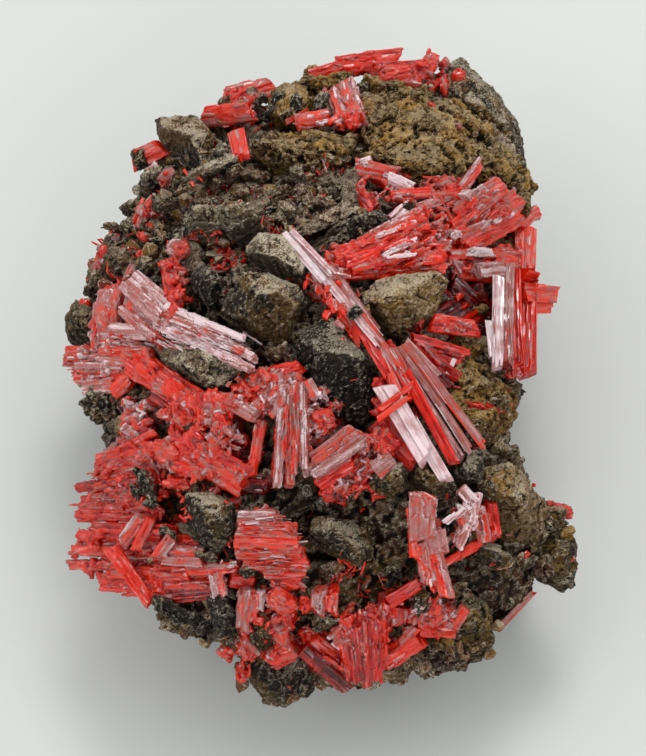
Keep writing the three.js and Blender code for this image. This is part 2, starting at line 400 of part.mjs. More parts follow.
// Pockets open in the groundmass: the vug under the horizontal beam and the dark cavity
// left of the centre column.
const POCKETS = [
  { rim: [[-14.4, -8, 6], [-7, -8, 6], [-6, -20, 6], [-12.4, -20.6, 6], [-15, -15, 6]],
    floor: [[-12, -10, -8], [-8, -10, -9], [-7.4, -18, -9], [-12, -18, -8]] },
  { rim: [[21.6, 16.4, 6], [28.4, 17, 6], [28, 8.4, 6], [20.6, 8.6, 6]],
    floor: [[22.4, 15, -8], [27, 15, -8], [26.6, 10, -7], [22, 10, -7]] },
];

// The widest outline of the groundmass, counter-clockwise from the right.
const MATRIX_RIM = [
  [35.5, 12], [35.5, 24], [34.5, 33], [32, 42], [26, 49.5], [16, 51], [4, 49.5], [-6, 46.5],
  [-15, 44], [-23, 42], [-27.5, 34], [-31, 26.5], [-36, 18], [-39.5, 9], [-38.5, 1], [-35, -7],
  [-31, -14], [-28, -22], [-27, -30], [-25.5, -39], [-19, -39.5], [-13, -45], [-7, -52],
  [0, -50], [10, -47.5], [23, -46], [30, -41.5], [36, -34], [38.5, -26], [34, -15], [30.5, -8],
  [33, 0],
];
const rimCurve = new THREE.CatmullRomCurve3(
  MATRIX_RIM.map(([across, up]) => new THREE.Vector3(across, up, 0)), true);

function rimPlace(angle) {
  const turn = angle / (2 * Math.PI);
  const place = rimCurve.getPoint(turn - Math.floor(turn));
  return [place.x, place.y];
}

// Low swells and hollows make the lump uneven.
function unevenness(across, up) {
  const swell = Math.sin(across / SWELLS.across + SWELLS.start) * Math.cos(up / SWELLS.up);
  const ripple = Math.sin(up / RIPPLES.up + across / RIPPLES.across);
  return SWELLS.height * swell + RIPPLES.height * ripple;
}

function matrixLump() {
  const ball = new THREE.IcosahedronGeometry(1, MATRIX_DETAIL);
  const position = ball.attributes.position;
  const vertex = new THREE.Vector3();
  for (let i = 0; i < position.count; i += 1) {
    vertex.fromBufferAttribute(position, i).normalize();
    const reach = Math.hypot(vertex.x, vertex.y);
    const [rimAcross, rimUp] = rimPlace(Math.atan2(vertex.y, vertex.x));
    if (vertex.z >= 0) {
      const across = rimAcross * reach;
      const up = rimUp * reach;
      vertex.copy(onFace([across, up, unevenness(across, up) - MATRIX_SKIN]));
    } else {
      const rim = onFace([rimAcross, rimUp, unevenness(rimAcross, rimUp) - MATRIX_SKIN]);
      const height = rim.z * (1 + BASE_TAPER * vertex.z);
      const waves = Math.sin(WOBBLE.across * vertex.x) * Math.cos(WOBBLE.along * vertex.y);
      const wobble = 1 + WOBBLE.height * waves;
      vertex.set(rim.x * reach * wobble, rim.y * reach * wobble, height);
    }
    position.setXYZ(i, vertex.x, vertex.y, vertex.z);
  }
  return toSolid(ball);
}

function aboveTheBase() {
  const block = new THREE.BoxGeometry(GROUND_BLOCK, GROUND_BLOCK, GROUND_BLOCK);
  block.translate(0, 0, GROUND_BLOCK / 2);
  return toSolid(block);
}

// ---------------------------------------------------------------- assembly

const group = new THREE.Group();

function addMesh(name, solid, hue) {
  const { vertProperties, triVerts } = solid.getMesh();
  const geometry = new THREE.BufferGeometry();
  geometry.setAttribute('position', new THREE.BufferAttribute(Float32Array.from(vertProperties), 3));
  geometry.setIndex(new THREE.BufferAttribute(Uint32Array.from(triVerts), 1));
  geometry.computeVertexNormals();
  const mesh = new THREE.Mesh(geometry, new THREE.MeshStandardMaterial(COLOURS[hue]));
  mesh.name = name;
  group.add(mesh);
}

const sockets = [];

function cutBySockets(solid) {
  return sockets.reduce((left, socket) => left.subtract(socket), solid);
}

const ground = aboveTheBase();

for (const clast of CLASTS) {
  const points = clastPoints(clast);
  const solid = largestBody(cutBySockets(hull(points)).intersect(ground));
  addMesh(clast.name, solid, clast.stone);
  sockets.push(hull(swollen(points, CLAST_SWELL)));
}

for (const cluster of CRYSTALS) {
  const solid = joined(cluster.prisms.map((prism) => hull(prismPoints(prism))));
  addMesh(cluster.name, largestBody(cutBySockets(solid).intersect(ground)), cluster.hue);
  sockets.push(joined(cluster.prisms.map((prism) => hull(prismPoints(prism, GAP)))));
}

for (const { rim, floor } of POCKETS) {
  sockets.push(hull([...rim, ...floor].map(onFace)));
}
addMesh('matrix_groundmass', largestBody(cutBySockets(matrixLump()).intersect(ground)), 'gossan');

export default group;
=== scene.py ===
# %% [markdown]
# # Crocoite on matrix
# A broken lump of iron-rich rock, about 116 by 88 by 57 mm, that carries sprays of red lead
# chromate crystals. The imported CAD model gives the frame: every rock clast and every crystal
# cluster has a node there. Each node is replaced here by a detailed piece in the same place.
# Everything is worked out in millimetres on the showy face and then written in metres.

# %% Load the frame
import json
import math
import random

import bmesh
import bpy
import numpy as np
from mathutils import Matrix, Vector, noise
from mathutils.bvhtree import BVHTree

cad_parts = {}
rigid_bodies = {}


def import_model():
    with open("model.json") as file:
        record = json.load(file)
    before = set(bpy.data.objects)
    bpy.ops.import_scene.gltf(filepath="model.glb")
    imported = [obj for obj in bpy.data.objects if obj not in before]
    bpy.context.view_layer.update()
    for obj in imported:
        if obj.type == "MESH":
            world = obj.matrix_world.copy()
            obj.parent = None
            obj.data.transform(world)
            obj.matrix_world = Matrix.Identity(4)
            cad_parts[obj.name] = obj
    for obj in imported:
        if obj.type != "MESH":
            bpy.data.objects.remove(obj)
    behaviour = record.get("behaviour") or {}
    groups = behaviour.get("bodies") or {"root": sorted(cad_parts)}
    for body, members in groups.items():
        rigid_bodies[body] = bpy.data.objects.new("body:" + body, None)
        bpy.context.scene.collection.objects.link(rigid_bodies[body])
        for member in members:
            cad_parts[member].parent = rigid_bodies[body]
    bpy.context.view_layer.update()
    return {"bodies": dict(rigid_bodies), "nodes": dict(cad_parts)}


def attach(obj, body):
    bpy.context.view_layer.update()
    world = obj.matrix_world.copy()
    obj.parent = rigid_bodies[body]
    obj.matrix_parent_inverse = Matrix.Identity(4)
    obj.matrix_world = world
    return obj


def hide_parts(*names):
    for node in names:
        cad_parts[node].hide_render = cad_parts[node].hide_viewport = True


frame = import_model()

BODY = frame["bodies"][0] if "root" not in frame["bodies"] else "root"
MM = 0.001

# %% [markdown]
# ## Places on the showy face
# The face leans back from the front and follows a rounded crown. A place on it is given as
# across, up and lift in millimetres, where lift stands above or below the crown. The same rule
# set out the CAD pieces, so a detail placed by it lands on its own clast or crystal.

# %% Face places
FACE_LEAN = math.radians(26)
FACE_CENTRE = (0.5, -2.0, 25.0)
CROWN_HEIGHT = 48.0
CROWN_UP = 8.0
FACE_HALF_WIDTH = 46.0
FALL_SIDE, FALL_BACK, FALL_FRONT = 30.0, 19.0, 33.0
REACH_BACK, REACH_FRONT = 48.0, 64.0
FALL_BLEND = 1.5
OUTWARD = Vector((0, -math.sin(FACE_LEAN), math.cos(FACE_LEAN)))
UPWARD = Vector((0, math.cos(FACE_LEAN), math.sin(FACE_LEAN)))
ACROSS = Vector((1, 0, 0))


def crown_height(across, up):
    side = FALL_SIDE * (abs(across) / FACE_HALF_WIDTH) ** 2.4
    beyond = up - CROWN_UP
    if beyond > 0:
        along = FALL_BACK * (beyond / REACH_BACK) ** 2
    else:
        along = FALL_FRONT * (beyond / REACH_FRONT) ** 2
    return CROWN_HEIGHT - (side ** FALL_BLEND + along ** FALL_BLEND) ** (1 / FALL_BLEND)


def on_face(across, up, lift=0.0):
    height = crown_height(across, up) + lift
    rise = height - FACE_CENTRE[2]
    y = (up - rise * math.sin(FACE_LEAN)) / math.cos(FACE_LEAN)
    return Vector((FACE_CENTRE[0] + across, FACE_CENTRE[1] + y, height))


def cad_skin():
    """All CAD nodes as one surface that rays can be cast on, in millimetres."""
    points, faces = [], []
    for node in frame["nodes"].values():
        first = len(points)
        points += [node.matrix_world @ v.co / MM for v in node.data.vertices]
        faces += [tuple(first + k for k in p.vertices) for p in node.data.polygons]
    return BVHTree.FromPolygons(points, faces)


CAD_SKIN = cad_skin()
RAY_START = 60.0


def settled(across, up, lift, above=0.3):
    """A place on the face, let down onto the CAD if it would hang more than above over it.
    Beyond the outline of the CAD there is no such place, and the answer is None."""
    place = on_face(across, up, lift)
    hit = CAD_SKIN.ray_cast(place + OUTWARD * RAY_START, -OUTWARD)[0]
    if hit is None:
        return None
    return hit + OUTWARD * min(above, (place - hit).dot(OUTWARD))


print("crown centre in mm:", [round(c, 1) for c in on_face(0, 0)])

# %% [markdown]
# ## Camera, light and table
# The camera looks down on the face from in front, with a long lens so that the lump isn't
# foreshortened. One large soft light hangs behind and above, where level crystal faces mirror
# it towards the camera. A pale room fills the rest, darker where the viewer stands, so that
# faces turned to the viewer keep their own colour.

# %% Camera
CAMERA_ELEVATION = math.radians(64)
CAMERA_DISTANCE = 1.0
FRAME_WIDTH = 0.10767
SENSOR = 36.0
NEAR_CLIP, FAR_CLIP = 0.05, 20.0
AIM_ACROSS, AIM_UP = 1.17, -0.33

camera_data = bpy.data.cameras.new("camera")
camera = bpy.data.objects.new("camera", camera_data)
bpy.context.scene.collection.objects.link(camera)
bpy.context.scene.camera = camera
camera_data.sensor_width = SENSOR
camera_data.sensor_fit = "HORIZONTAL"
camera_data.lens = SENSOR * CAMERA_DISTANCE / FRAME_WIDTH
aim = (Vector(FACE_CENTRE) + ACROSS * AIM_ACROSS + UPWARD * AIM_UP) * MM
towards = Vector((0, -math.cos(CAMERA_ELEVATION), math.sin(CAMERA_ELEVATION)))
camera.location = aim + towards * CAMERA_DISTANCE
camera.rotation_euler = (-towards).to_track_quat("-Z", "Y").to_euler()
camera_data.clip_start, camera_data.clip_end = NEAR_CLIP, FAR_CLIP
print("camera at", [round(c, 3) for c in camera.location])


# %% [markdown]
# ### Light
# Three soft lamps are aimed at the middle of the lump. The room's own light is a world shader,
# weaker in the direction of the camera.

# %% Lights and room
LIT_PLACE = Vector((0, 0, 0.03))


def soft_light(name, place, size, power, colour):
    light = bpy.data.lights.new(name, "AREA")
    light.shape = "RECTANGLE"
    light.size, light.size_y = size
    light.energy = power
    light.color = colour
    lamp = bpy.data.objects.new(name, light)
    bpy.context.scene.collection.objects.link(lamp)
    lamp.location = place
    lamp.rotation_euler = (LIT_PLACE - lamp.location).to_track_quat("-Z", "Y").to_euler()


soft_light("key_light", (0.15, 0.72, 1.1), size=(0.5, 0.4), power=5.2, colour=(1.0, 0.985, 0.96))
soft_light("side_light", (-1.3, -0.3, 0.7), size=(1.0, 1.0), power=3.5, colour=(0.96, 0.98, 1.0))
soft_light("front_light", (0.2, -1.4, 0.7), size=(1.4, 0.8), power=5.0, colour=(0.98, 0.99, 1.0))


def pale_room(strength, shade, nearest, farthest):
    """A pale room all round. Its light falls to the shade between the cosines farthest and
    nearest of the angle to the viewer."""
    world = bpy.data.worlds.new("pale room")
    bpy.context.scene.world = world
    world.use_nodes = True
    tree = world.node_tree
    look = tree.nodes.new("ShaderNodeTexCoord").outputs["Generated"]
    near = tree.nodes.new("ShaderNodeVectorMath")
    near.operation = "DOT_PRODUCT"
    tree.links.new(look, near.inputs[0])
    near.inputs[1].default_value = towards
    spread = tree.nodes.new("ShaderNodeMapRange")
    spread.interpolation_type = "SMOOTHSTEP"
    tree.links.new(near.outputs["Value"], spread.inputs["Value"])
    for label, value in (("From Min", farthest), ("From Max", nearest), ("To Min", strength),
                         ("To Max", strength * shade)):
        spread.inputs[label].default_value = value
    sky = tree.nodes["Background"]
    sky.inputs["Color"].default_value = (0.93, 0.96, 0.95, 1)
    tree.links.new(spread.outputs["Result"], sky.inputs["Strength"])


pale_room(strength=1.27, shade=0.1, nearest=0.97, farthest=0.82)
bpy.context.scene.view_settings.view_transform = "Standard"


# %% [markdown]
# ## Small helpers for node trees and pieces
# Every node tree below is written with one helper that makes a node, sets it and joins its
# inputs, so that a tree reads from top to bottom.

# %% Node helper
def add(tree, kind, settings=None, inputs=None):
    made = tree.nodes.new(kind)
    for key, value in (settings or {}).items():
        setattr(made, key, value)
    for key, value in (inputs or {}).items():
        if isinstance(value, bpy.types.NodeSocket):
            tree.links.new(value, made.inputs[key])
        else:
            made.inputs[key].default_value = value
    return made


def group_tree(name, kind, inputs, outputs):
    """A node tree whose inputs and outputs are named. Each label is given its kind of socket,
    or a number that is its usual value."""
    tree = bpy.data.node_groups.new(name, kind)
    for side, sockets in (("INPUT", inputs), ("OUTPUT", outputs)):
        for label, given in sockets.items():
            number = {float: "Float", int: "Int"}.get(type(given))
            socket = tree.interface.new_socket(
                name=label, in_out=side, socket_type="NodeSocket" + (number or given))
            if number:
                socket.default_value = given
    start = tree.nodes.new("NodeGroupInput")
    end = tree.nodes.new("NodeGroupOutput")
    return tree, start, end


def maths(tree, operation, first, second=0.0, clamp=False):
    return add(tree, "ShaderNodeMath", {"operation": operation, "use_clamp": clamp},
               {0: first, 1: second}).outputs[0]


def vectors(tree, operation, first, second=None):
    inputs = {0: first}
    if second is not None:
        inputs["Scale" if operation == "SCALE" else 1] = second
    made = add(tree, "ShaderNodeVectorMath", {"operation": operation}, inputs)
    return made.outputs["Value" if operation in {"DOT_PRODUCT", "LENGTH"} else "Vector"]


def remapped(tree, value, low, high):
    return add(tree, "ShaderNodeMapRange", {"clamp": True},
               {"Value": value, "From Min": low, "From Max": high}).outputs["Result"]


def mixed(tree, share, first, second, kind="MIX"):
    made = tree.nodes.new("ShaderNodeMix")
    made.data_type = "RGBA"
    made.blend_type = kind
    for key, value in ((0, share), (6, first), (7, second)):
        if isinstance(value, bpy.types.NodeSocket):
            tree.links.new(value, made.inputs[key])
        else:
            made.inputs[key].default_value = value
    return made.outputs[2]


def cloudy(tree, place, scale, detail, roughness=0.5):
    """Noise between 0 and 1."""
    return add(tree, "ShaderNodeTexNoise", None, {
        "Vector": place, "Scale": scale, "Detail": detail, "Roughness": roughness}).outputs[0]


def split_up(tree, vector):
    """The three parts of a vector or colour."""
    return add(tree, "ShaderNodeSeparateXYZ", None, {0: vector}).outputs


def shader_material(name):
    material = bpy.data.materials.new(name)
    material.use_nodes = True
    return material, material.node_tree, material.node_tree.nodes["Principled BSDF"]


def stored_proud(tree, geometry, place, facing, full):
    """Stores how far each point stands out from its surroundings, as a share of full."""
    blurred = add(tree, "GeometryNodeBlurAttribute", {"data_type": "FLOAT_VECTOR"},
                  {"Value": place, "Iterations": 3}).outputs["Value"]
    proud = vectors(tree, "DOT_PRODUCT", vectors(tree, "SUBTRACT", place, blurred), facing)
    return add(tree, "GeometryNodeStoreNamedAttribute", {"data_type": "FLOAT"}, {
        "Geometry": geometry, "Name": "proud", "Value": maths(tree, "DIVIDE", proud, full)}
        ).outputs[0]


def end_in_mesh(tree, geometry, material, end):
    """Ends a geometry tree in one real mesh of one material."""
    real = add(tree, "GeometryNodeRealizeInstances", None, {"Geometry": geometry})
    finish = add(tree, "GeometryNodeSetMaterial", None, {
        "Geometry": real.outputs[0], "Material": material})
    tree.links.new(finish.outputs[0], end.inputs[0])
    return tree


def triangles(piece):
    return sum(len(p.vertices) - 2 for p in piece.data.polygons)


def nudge(draw, amount):
    return Vector([draw.gauss(0, amount) for _ in range(3)])


def any_way(draw):
    """A direction that may point any way."""
    return nudge(draw, 1).normalized()


def box_spot(draw, sharpness, nearest, farthest):
    """A random place near the skin of a box 1 across with rounded corners."""
    spot = nudge(draw, 1)
    spot /= sum(abs(c) ** sharpness for c in spot) ** (1 / sharpness)
    return spot * draw.uniform(nearest, farthest)


def oval_spot(draw, centre, reach):
    """A random place in an oval of the face, across and up."""
    far, angle = math.sqrt(draw.random()), draw.uniform(0, 2 * math.pi)
    return (centre[0] + reach[0] * far * math.cos(angle),
            centre[1] + reach[1] * far * math.sin(angle))


def headed(degrees):
    """The way along the face that is turned so far from across."""
    swing = math.radians(degrees)
    return ACROSS * math.cos(swing) + UPWARD * math.sin(swing)


def side_axes(along, outward, turn=0.0):
    """The ways across a crystal and through it, turned about its length."""
    sideways = along.cross(outward).normalized()
    spin = Matrix.Rotation(turn, 3, along)
    return spin @ sideways, spin @ sideways.cross(along)


def make_hull(shape):
    """Turns loose points into their hull."""
    result = bmesh.ops.convex_hull(shape, input=shape.verts)
    inner = [v for v in result["geom_interior"] if isinstance(v, bmesh.types.BMVert)]
    bmesh.ops.delete(shape, geom=inner, context="VERTS")


def face_numbers(mesh, label, values):
    layer = mesh.attributes.new(label, "FLOAT", "FACE")
    layer.data.foreach_set("value", np.array(values, np.float32))


print("node helpers ready")

# %% [markdown]
# ## Broken stone
# The lump is gossan, a rock that broke into flat chips at every size. Modelling each chip by
# hand would take weeks, so the break is a Geometry Nodes rule. Space is divided into random
# cells, and each cell tilts the surface its own way, which gives flat chips with sharp steps
# between them. Three sizes of chip and a fine grain are added up. The rule also stores how far
# each point stands out from its surroundings, for worn edges and for the shade painted in
# crevices by the finish.


# %% Chip rule
SEED_TURN = 1.7           # how much further a new seed shifts the pattern in y than in x
CELL_BEND = 0.7           # how far noise bends the cells, as a share of their size
CELL_TILT = 2.2
GRAIN_SCALE = 1400.0      # grains per metre
FULLY_PROUD = 0.0001      # how far a worn stone edge stands out, in metres


def chip_group():
    tree, start, end = group_tree("Chips", "GeometryNodeTree", {
        "Position": "Vector", "Size": 0.004, "Depth": 0.001, "Seed": 0.0}, {"Height": "Float"})
    scaled = vectors(tree, "SCALE", start.outputs["Position"],
                     maths(tree, "DIVIDE", 1.0, start.outputs["Size"]))
    shift = vectors(tree, "ADD", scaled, add(tree, "ShaderNodeCombineXYZ", None, {
        0: start.outputs["Seed"], 1: maths(tree, "MULTIPLY", start.outputs["Seed"],
                                            SEED_TURN)}).outputs[0])
    warp = add(tree, "ShaderNodeTexNoise", None,
               {"Vector": shift, "Scale": 0.8, "Detail": 2.0}).outputs["Color"]
    bent = vectors(tree, "ADD", shift, vectors(tree, "SCALE", warp, CELL_BEND))
    cell = add(tree, "ShaderNodeTexVoronoi", None, {"Vector": bent, "Scale": 1.0})
    lean = vectors(tree, "SUBTRACT", cell.outputs["Color"], (0.5, 0.5, 0.5))
    away = vectors(tree, "SUBTRACT", bent, cell.outputs["Position"])
    tilt = maths(tree, "MULTIPLY", vectors(tree, "DOT_PRODUCT", away, lean), CELL_TILT)
    step = maths(tree, "SUBTRACT", split_up(tree, cell.outputs["Color"])[1], 0.5)
    height = maths(tree, "MULTIPLY", maths(tree, "ADD", tilt, step), start.outputs["Depth"])
    tree.links.new(height, end.inputs["Height"])
    return tree


CHIPS = chip_group()


def stone_tree():
    tree, start, end = group_tree("Broken stone", "GeometryNodeTree", {
        "Geometry": "Geometry", "Block Size": 0.009, "Block Depth": 0.002, "Chip Size": 0.004,
        "Chip Depth": 0.001, "Flake Size": 0.0015, "Flake Depth": 0.0004, "Grain Depth": 0.0002,
        "Floor Height": 0.0001, "Seed": 0.0, "Material": "Material"}, {"Geometry": "Geometry"})
    place = tree.nodes.new("GeometryNodeInputPosition").outputs[0]
    facing = tree.nodes.new("GeometryNodeInputNormal").outputs[0]
    total = None
    for turn, size in enumerate(("Block", "Chip", "Flake")):
        chips = add(tree, "GeometryNodeGroup", {"node_tree": CHIPS}, {
            "Position": place, "Size": start.outputs[size + " Size"],
            "Depth": start.outputs[size + " Depth"],
            "Seed": maths(tree, "ADD", start.outputs["Seed"], 3.1 * turn)}).outputs[0]
        total = chips if total is None else maths(tree, "ADD", total, chips)
    grain = cloudy(tree, place, GRAIN_SCALE, 3.0)
    grain = maths(tree, "MULTIPLY", maths(tree, "SUBTRACT", grain, 0.5),
                  start.outputs["Grain Depth"])
    total = maths(tree, "ADD", total, maths(tree, "MULTIPLY", grain, 2.0))
    looks = add(tree, "GeometryNodeStoreNamedAttribute", {"data_type": "FLOAT_VECTOR"}, {
        "Geometry": start.outputs["Geometry"], "Name": "look", "Value": facing})
    moved = add(tree, "GeometryNodeSetPosition", None, {
        "Geometry": looks.outputs[0], "Offset": vectors(tree, "SCALE", facing, total)})
    split = split_up(tree, place)
    level = maths(tree, "MAXIMUM", split[2], start.outputs["Floor Height"])
    flat = add(tree, "ShaderNodeCombineXYZ", None, {0: split[0], 1: split[1], 2: level})
    seated = add(tree, "GeometryNodeSetPosition", None,
                 {"Geometry": moved.outputs[0], "Position": flat.outputs[0]})
    stored = stored_proud(tree, seated.outputs[0], place, facing, FULLY_PROUD)
    smooth = add(tree, "GeometryNodeSetShadeSmooth", None, {
        "Geometry": stored, "Shade Smooth": False})
    return end_in_mesh(tree, smooth.outputs[0], start.outputs["Material"], end)


BROKEN_STONE = stone_tree()
print("stone tree:", len(BROKEN_STONE.nodes), "nodes")


# %% [markdown]
# ### From modifiers to plain pieces
# A rule runs as a modifier on an object. Its result is then turned into a plain mesh, because
# a finished piece has no modifiers left.

# %% Turn an object and its modifiers into a plain piece
def link_object(name, mesh):
    made = bpy.data.objects.new(name, mesh)
    bpy.context.scene.collection.objects.link(made)
    return made


def run_rule(obj, rule, voxel=None, **values):
    """Runs a rule on an object, remeshed evenly first if there is a voxel size, and leaves the
    result as a plain mesh."""
    if voxel:
        remesh = obj.modifiers.new("even mesh", "REMESH")
        remesh.mode = "VOXEL"
        remesh.voxel_size = voxel
    modifier = obj.modifiers.new("rule", "NODES")
    modifier.node_group = rule
    names = {item.name: item.identifier for item in rule.interface.items_tree
             if item.item_type == "SOCKET" and item.in_out == "INPUT"}
    for label, value in values.items():
        modifier[names[label.replace("_", " ")]] = value
    bpy.context.view_layer.update()
    deps = bpy.context.evaluated_depsgraph_get()
    mesh = bpy.data.meshes.new_from_object(obj.evaluated_get(deps), depsgraph=deps)
    obj.modifiers.clear()
    obj.data = mesh
    return obj


def finished(piece, slot, *nodes):
    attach(piece, BODY)
    if nodes:
        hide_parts(*nodes)
    return piece


print("piece helpers ready")

# %% [markdown]
# ## Finishes of the rock
# Three kinds of rock show, each in more than one tone: brown-black ironstone, ochre-brown
# limonite and the gossan between them. The same things happen to all: pale dust settles on
# what faces up and back towards the lamp, where it is also a painted highlight; edges that
# stand proud are worn lighter; crevices are painted with shade. Those effects are shader
# groups, built once and used by each rock with its own values.


# %% Shader groups for dust and painted highlight, wear and painted crevice shade, and facets
DUST_AND_HIGHLIGHT_SIDE = (0.1, 0.42, 0.9)      # the way that a face looks when most dust lies on it, towards the lamp, where the dust is also a painted highlight
DUST_AND_HIGHLIGHT_FADE = 0.28


def dust_and_highlight_group():
    tree, start, end = group_tree("Dust and painted highlight", "ShaderNodeTree", {
        "Position": "Vector", "Normal": "Vector", "Lowest Slope": 0.45, "Speckle": 3.2,
        "Amount": 0.6}, {"Mask": "Float"})
    # The slope towards the lamp makes this mask a painted highlight as well as settled dust.
    slope = vectors(tree, "DOT_PRODUCT", start.outputs["Normal"], DUST_AND_HIGHLIGHT_SIDE)
    facing = remapped(tree, slope, start.outputs["Lowest Slope"],
                      maths(tree, "ADD", start.outputs["Lowest Slope"], DUST_AND_HIGHLIGHT_FADE))
    patch = cloudy(tree, start.outputs["Position"], 0.22, 3.0)
    fleck = cloudy(tree, start.outputs["Position"], start.outputs["Speckle"], 4.0, 0.75)
    both = maths(tree, "ADD", maths(tree, "MULTIPLY", patch, 0.9),
                 maths(tree, "MULTIPLY", fleck, 0.95))
    spots = remapped(tree, both, 0.91, 0.96)
    mask = maths(tree, "MULTIPLY", facing, spots)
    tree.links.new(maths(tree, "MULTIPLY", mask, start.outputs["Amount"], clamp=True),
                   end.inputs["Mask"])
    return tree


def wear_and_shade_group():
    tree, start, end = group_tree("Wear and painted shade", "ShaderNodeTree", {
        "Position": "Vector", "Proud": 0.0}, {"Edge": "Float", "Painted Crevice Shade": "Float"})
    patch = cloudy(tree, start.outputs["Position"], 1.3, 3.0)
    fleck = cloudy(tree, start.outputs["Position"], 4.5, 3.0, 0.7)
    edge = remapped(tree, start.outputs["Proud"], 0.1, 0.8)
    edge = maths(tree, "MULTIPLY", edge, remapped(tree, patch, 0.40, 0.54))
    edge = maths(tree, "MULTIPLY", edge, remapped(tree, fleck, 0.45, 0.55))
    # Where the surface lies below its surroundings: the mask for painted shade in crevices.
    crevice_shade = remapped(tree, maths(tree, "MULTIPLY", start.outputs["Proud"], -1.0), 0.1, 0.9)
    tree.links.new(edge, end.inputs["Edge"])
    tree.links.new(crevice_shade, end.inputs["Painted Crevice Shade"])
    return tree


def facet_group():
    """Tilts the normal cell by cell, so that a broken face glints in patches."""
    tree, start, end = group_tree("Facets", "ShaderNodeTree", {
        "Vector": "Vector", "Normal": "Vector", "Scale": 1.0, "Tilt": 0.4},
        {"Normal": "Vector", "Pick": "Float"})
    cell = add(tree, "ShaderNodeTexVoronoi", None, {
        "Vector": start.outputs["Vector"], "Scale": start.outputs["Scale"]})
    lean = vectors(tree, "SUBTRACT", cell.outputs["Color"], (0.5, 0.5, 0.5))
    leaned = vectors(tree, "SCALE", lean, start.outputs["Tilt"])
    turned = vectors(tree, "NORMALIZE", vectors(tree, "ADD", start.outputs["Normal"], leaned))
    tree.links.new(turned, end.inputs["Normal"])
    tree.links.new(split_up(tree, cell.outputs["Color"])[0], end.inputs["Pick"])
    return tree


DUST_AND_HIGHLIGHT = dust_and_highlight_group()
WEAR_AND_SHADE = wear_and_shade_group()
FACETS = facet_group()
print("dust, wear and facet groups ready")


# %% [markdown]
# ### One finish for every rock
# A finish lays these over each other: a body colour that runs through tones, broad patches of
# stain, worn edges, painted shade in crevices and on faces turned from the lamp, and dust that
# is also a painted highlight. Facets and a fine relief break up its gloss.

# %% Rock finish
def colour_ramp(tree, value, stops):
    ramp = add(tree, "ShaderNodeValToRGB", None, {"Fac": value})
    marks = ramp.color_ramp.elements
    while len(marks) < len(stops):
        marks.new(0.5)
    for mark, (position, colour) in zip(marks, stops):
        mark.position = position
        mark.color = (*colour, 1)
    return ramp.outputs["Color"]


PALE_GREY = (0.74, 0.62, 0.46, 1)
BEDDING_TURN = math.radians(45)
BEDDING_STRETCH = (0.5, 1.8, 1.1)
# The way to the lamp behind and above. Faces turned from it, and crevices, are painted with shade
# in the near-black colours below.
TOWARDS_LAMP = (0.05, 0.36, 0.93)
CREVICE_PAINTED_SHADE = (0.006, 0.004, 0.003, 1)
STEEP_PAINTED_SHADE = (0.006, 0.004, 0.002, 1)
EDGE_SHARE, CREVICE_SHADE_SHARE, STEEP_SHADE_SHARE, DRIFT_SHARE = 0.9, 0.85, 0.55, 0.7
SMOOTHEST, ROUGHER_BY = 0.24, 0.5
ROCK_FACETS = ((0.9, 0.45), (2.6, 0.45))      # facets per millimetre and their tilt


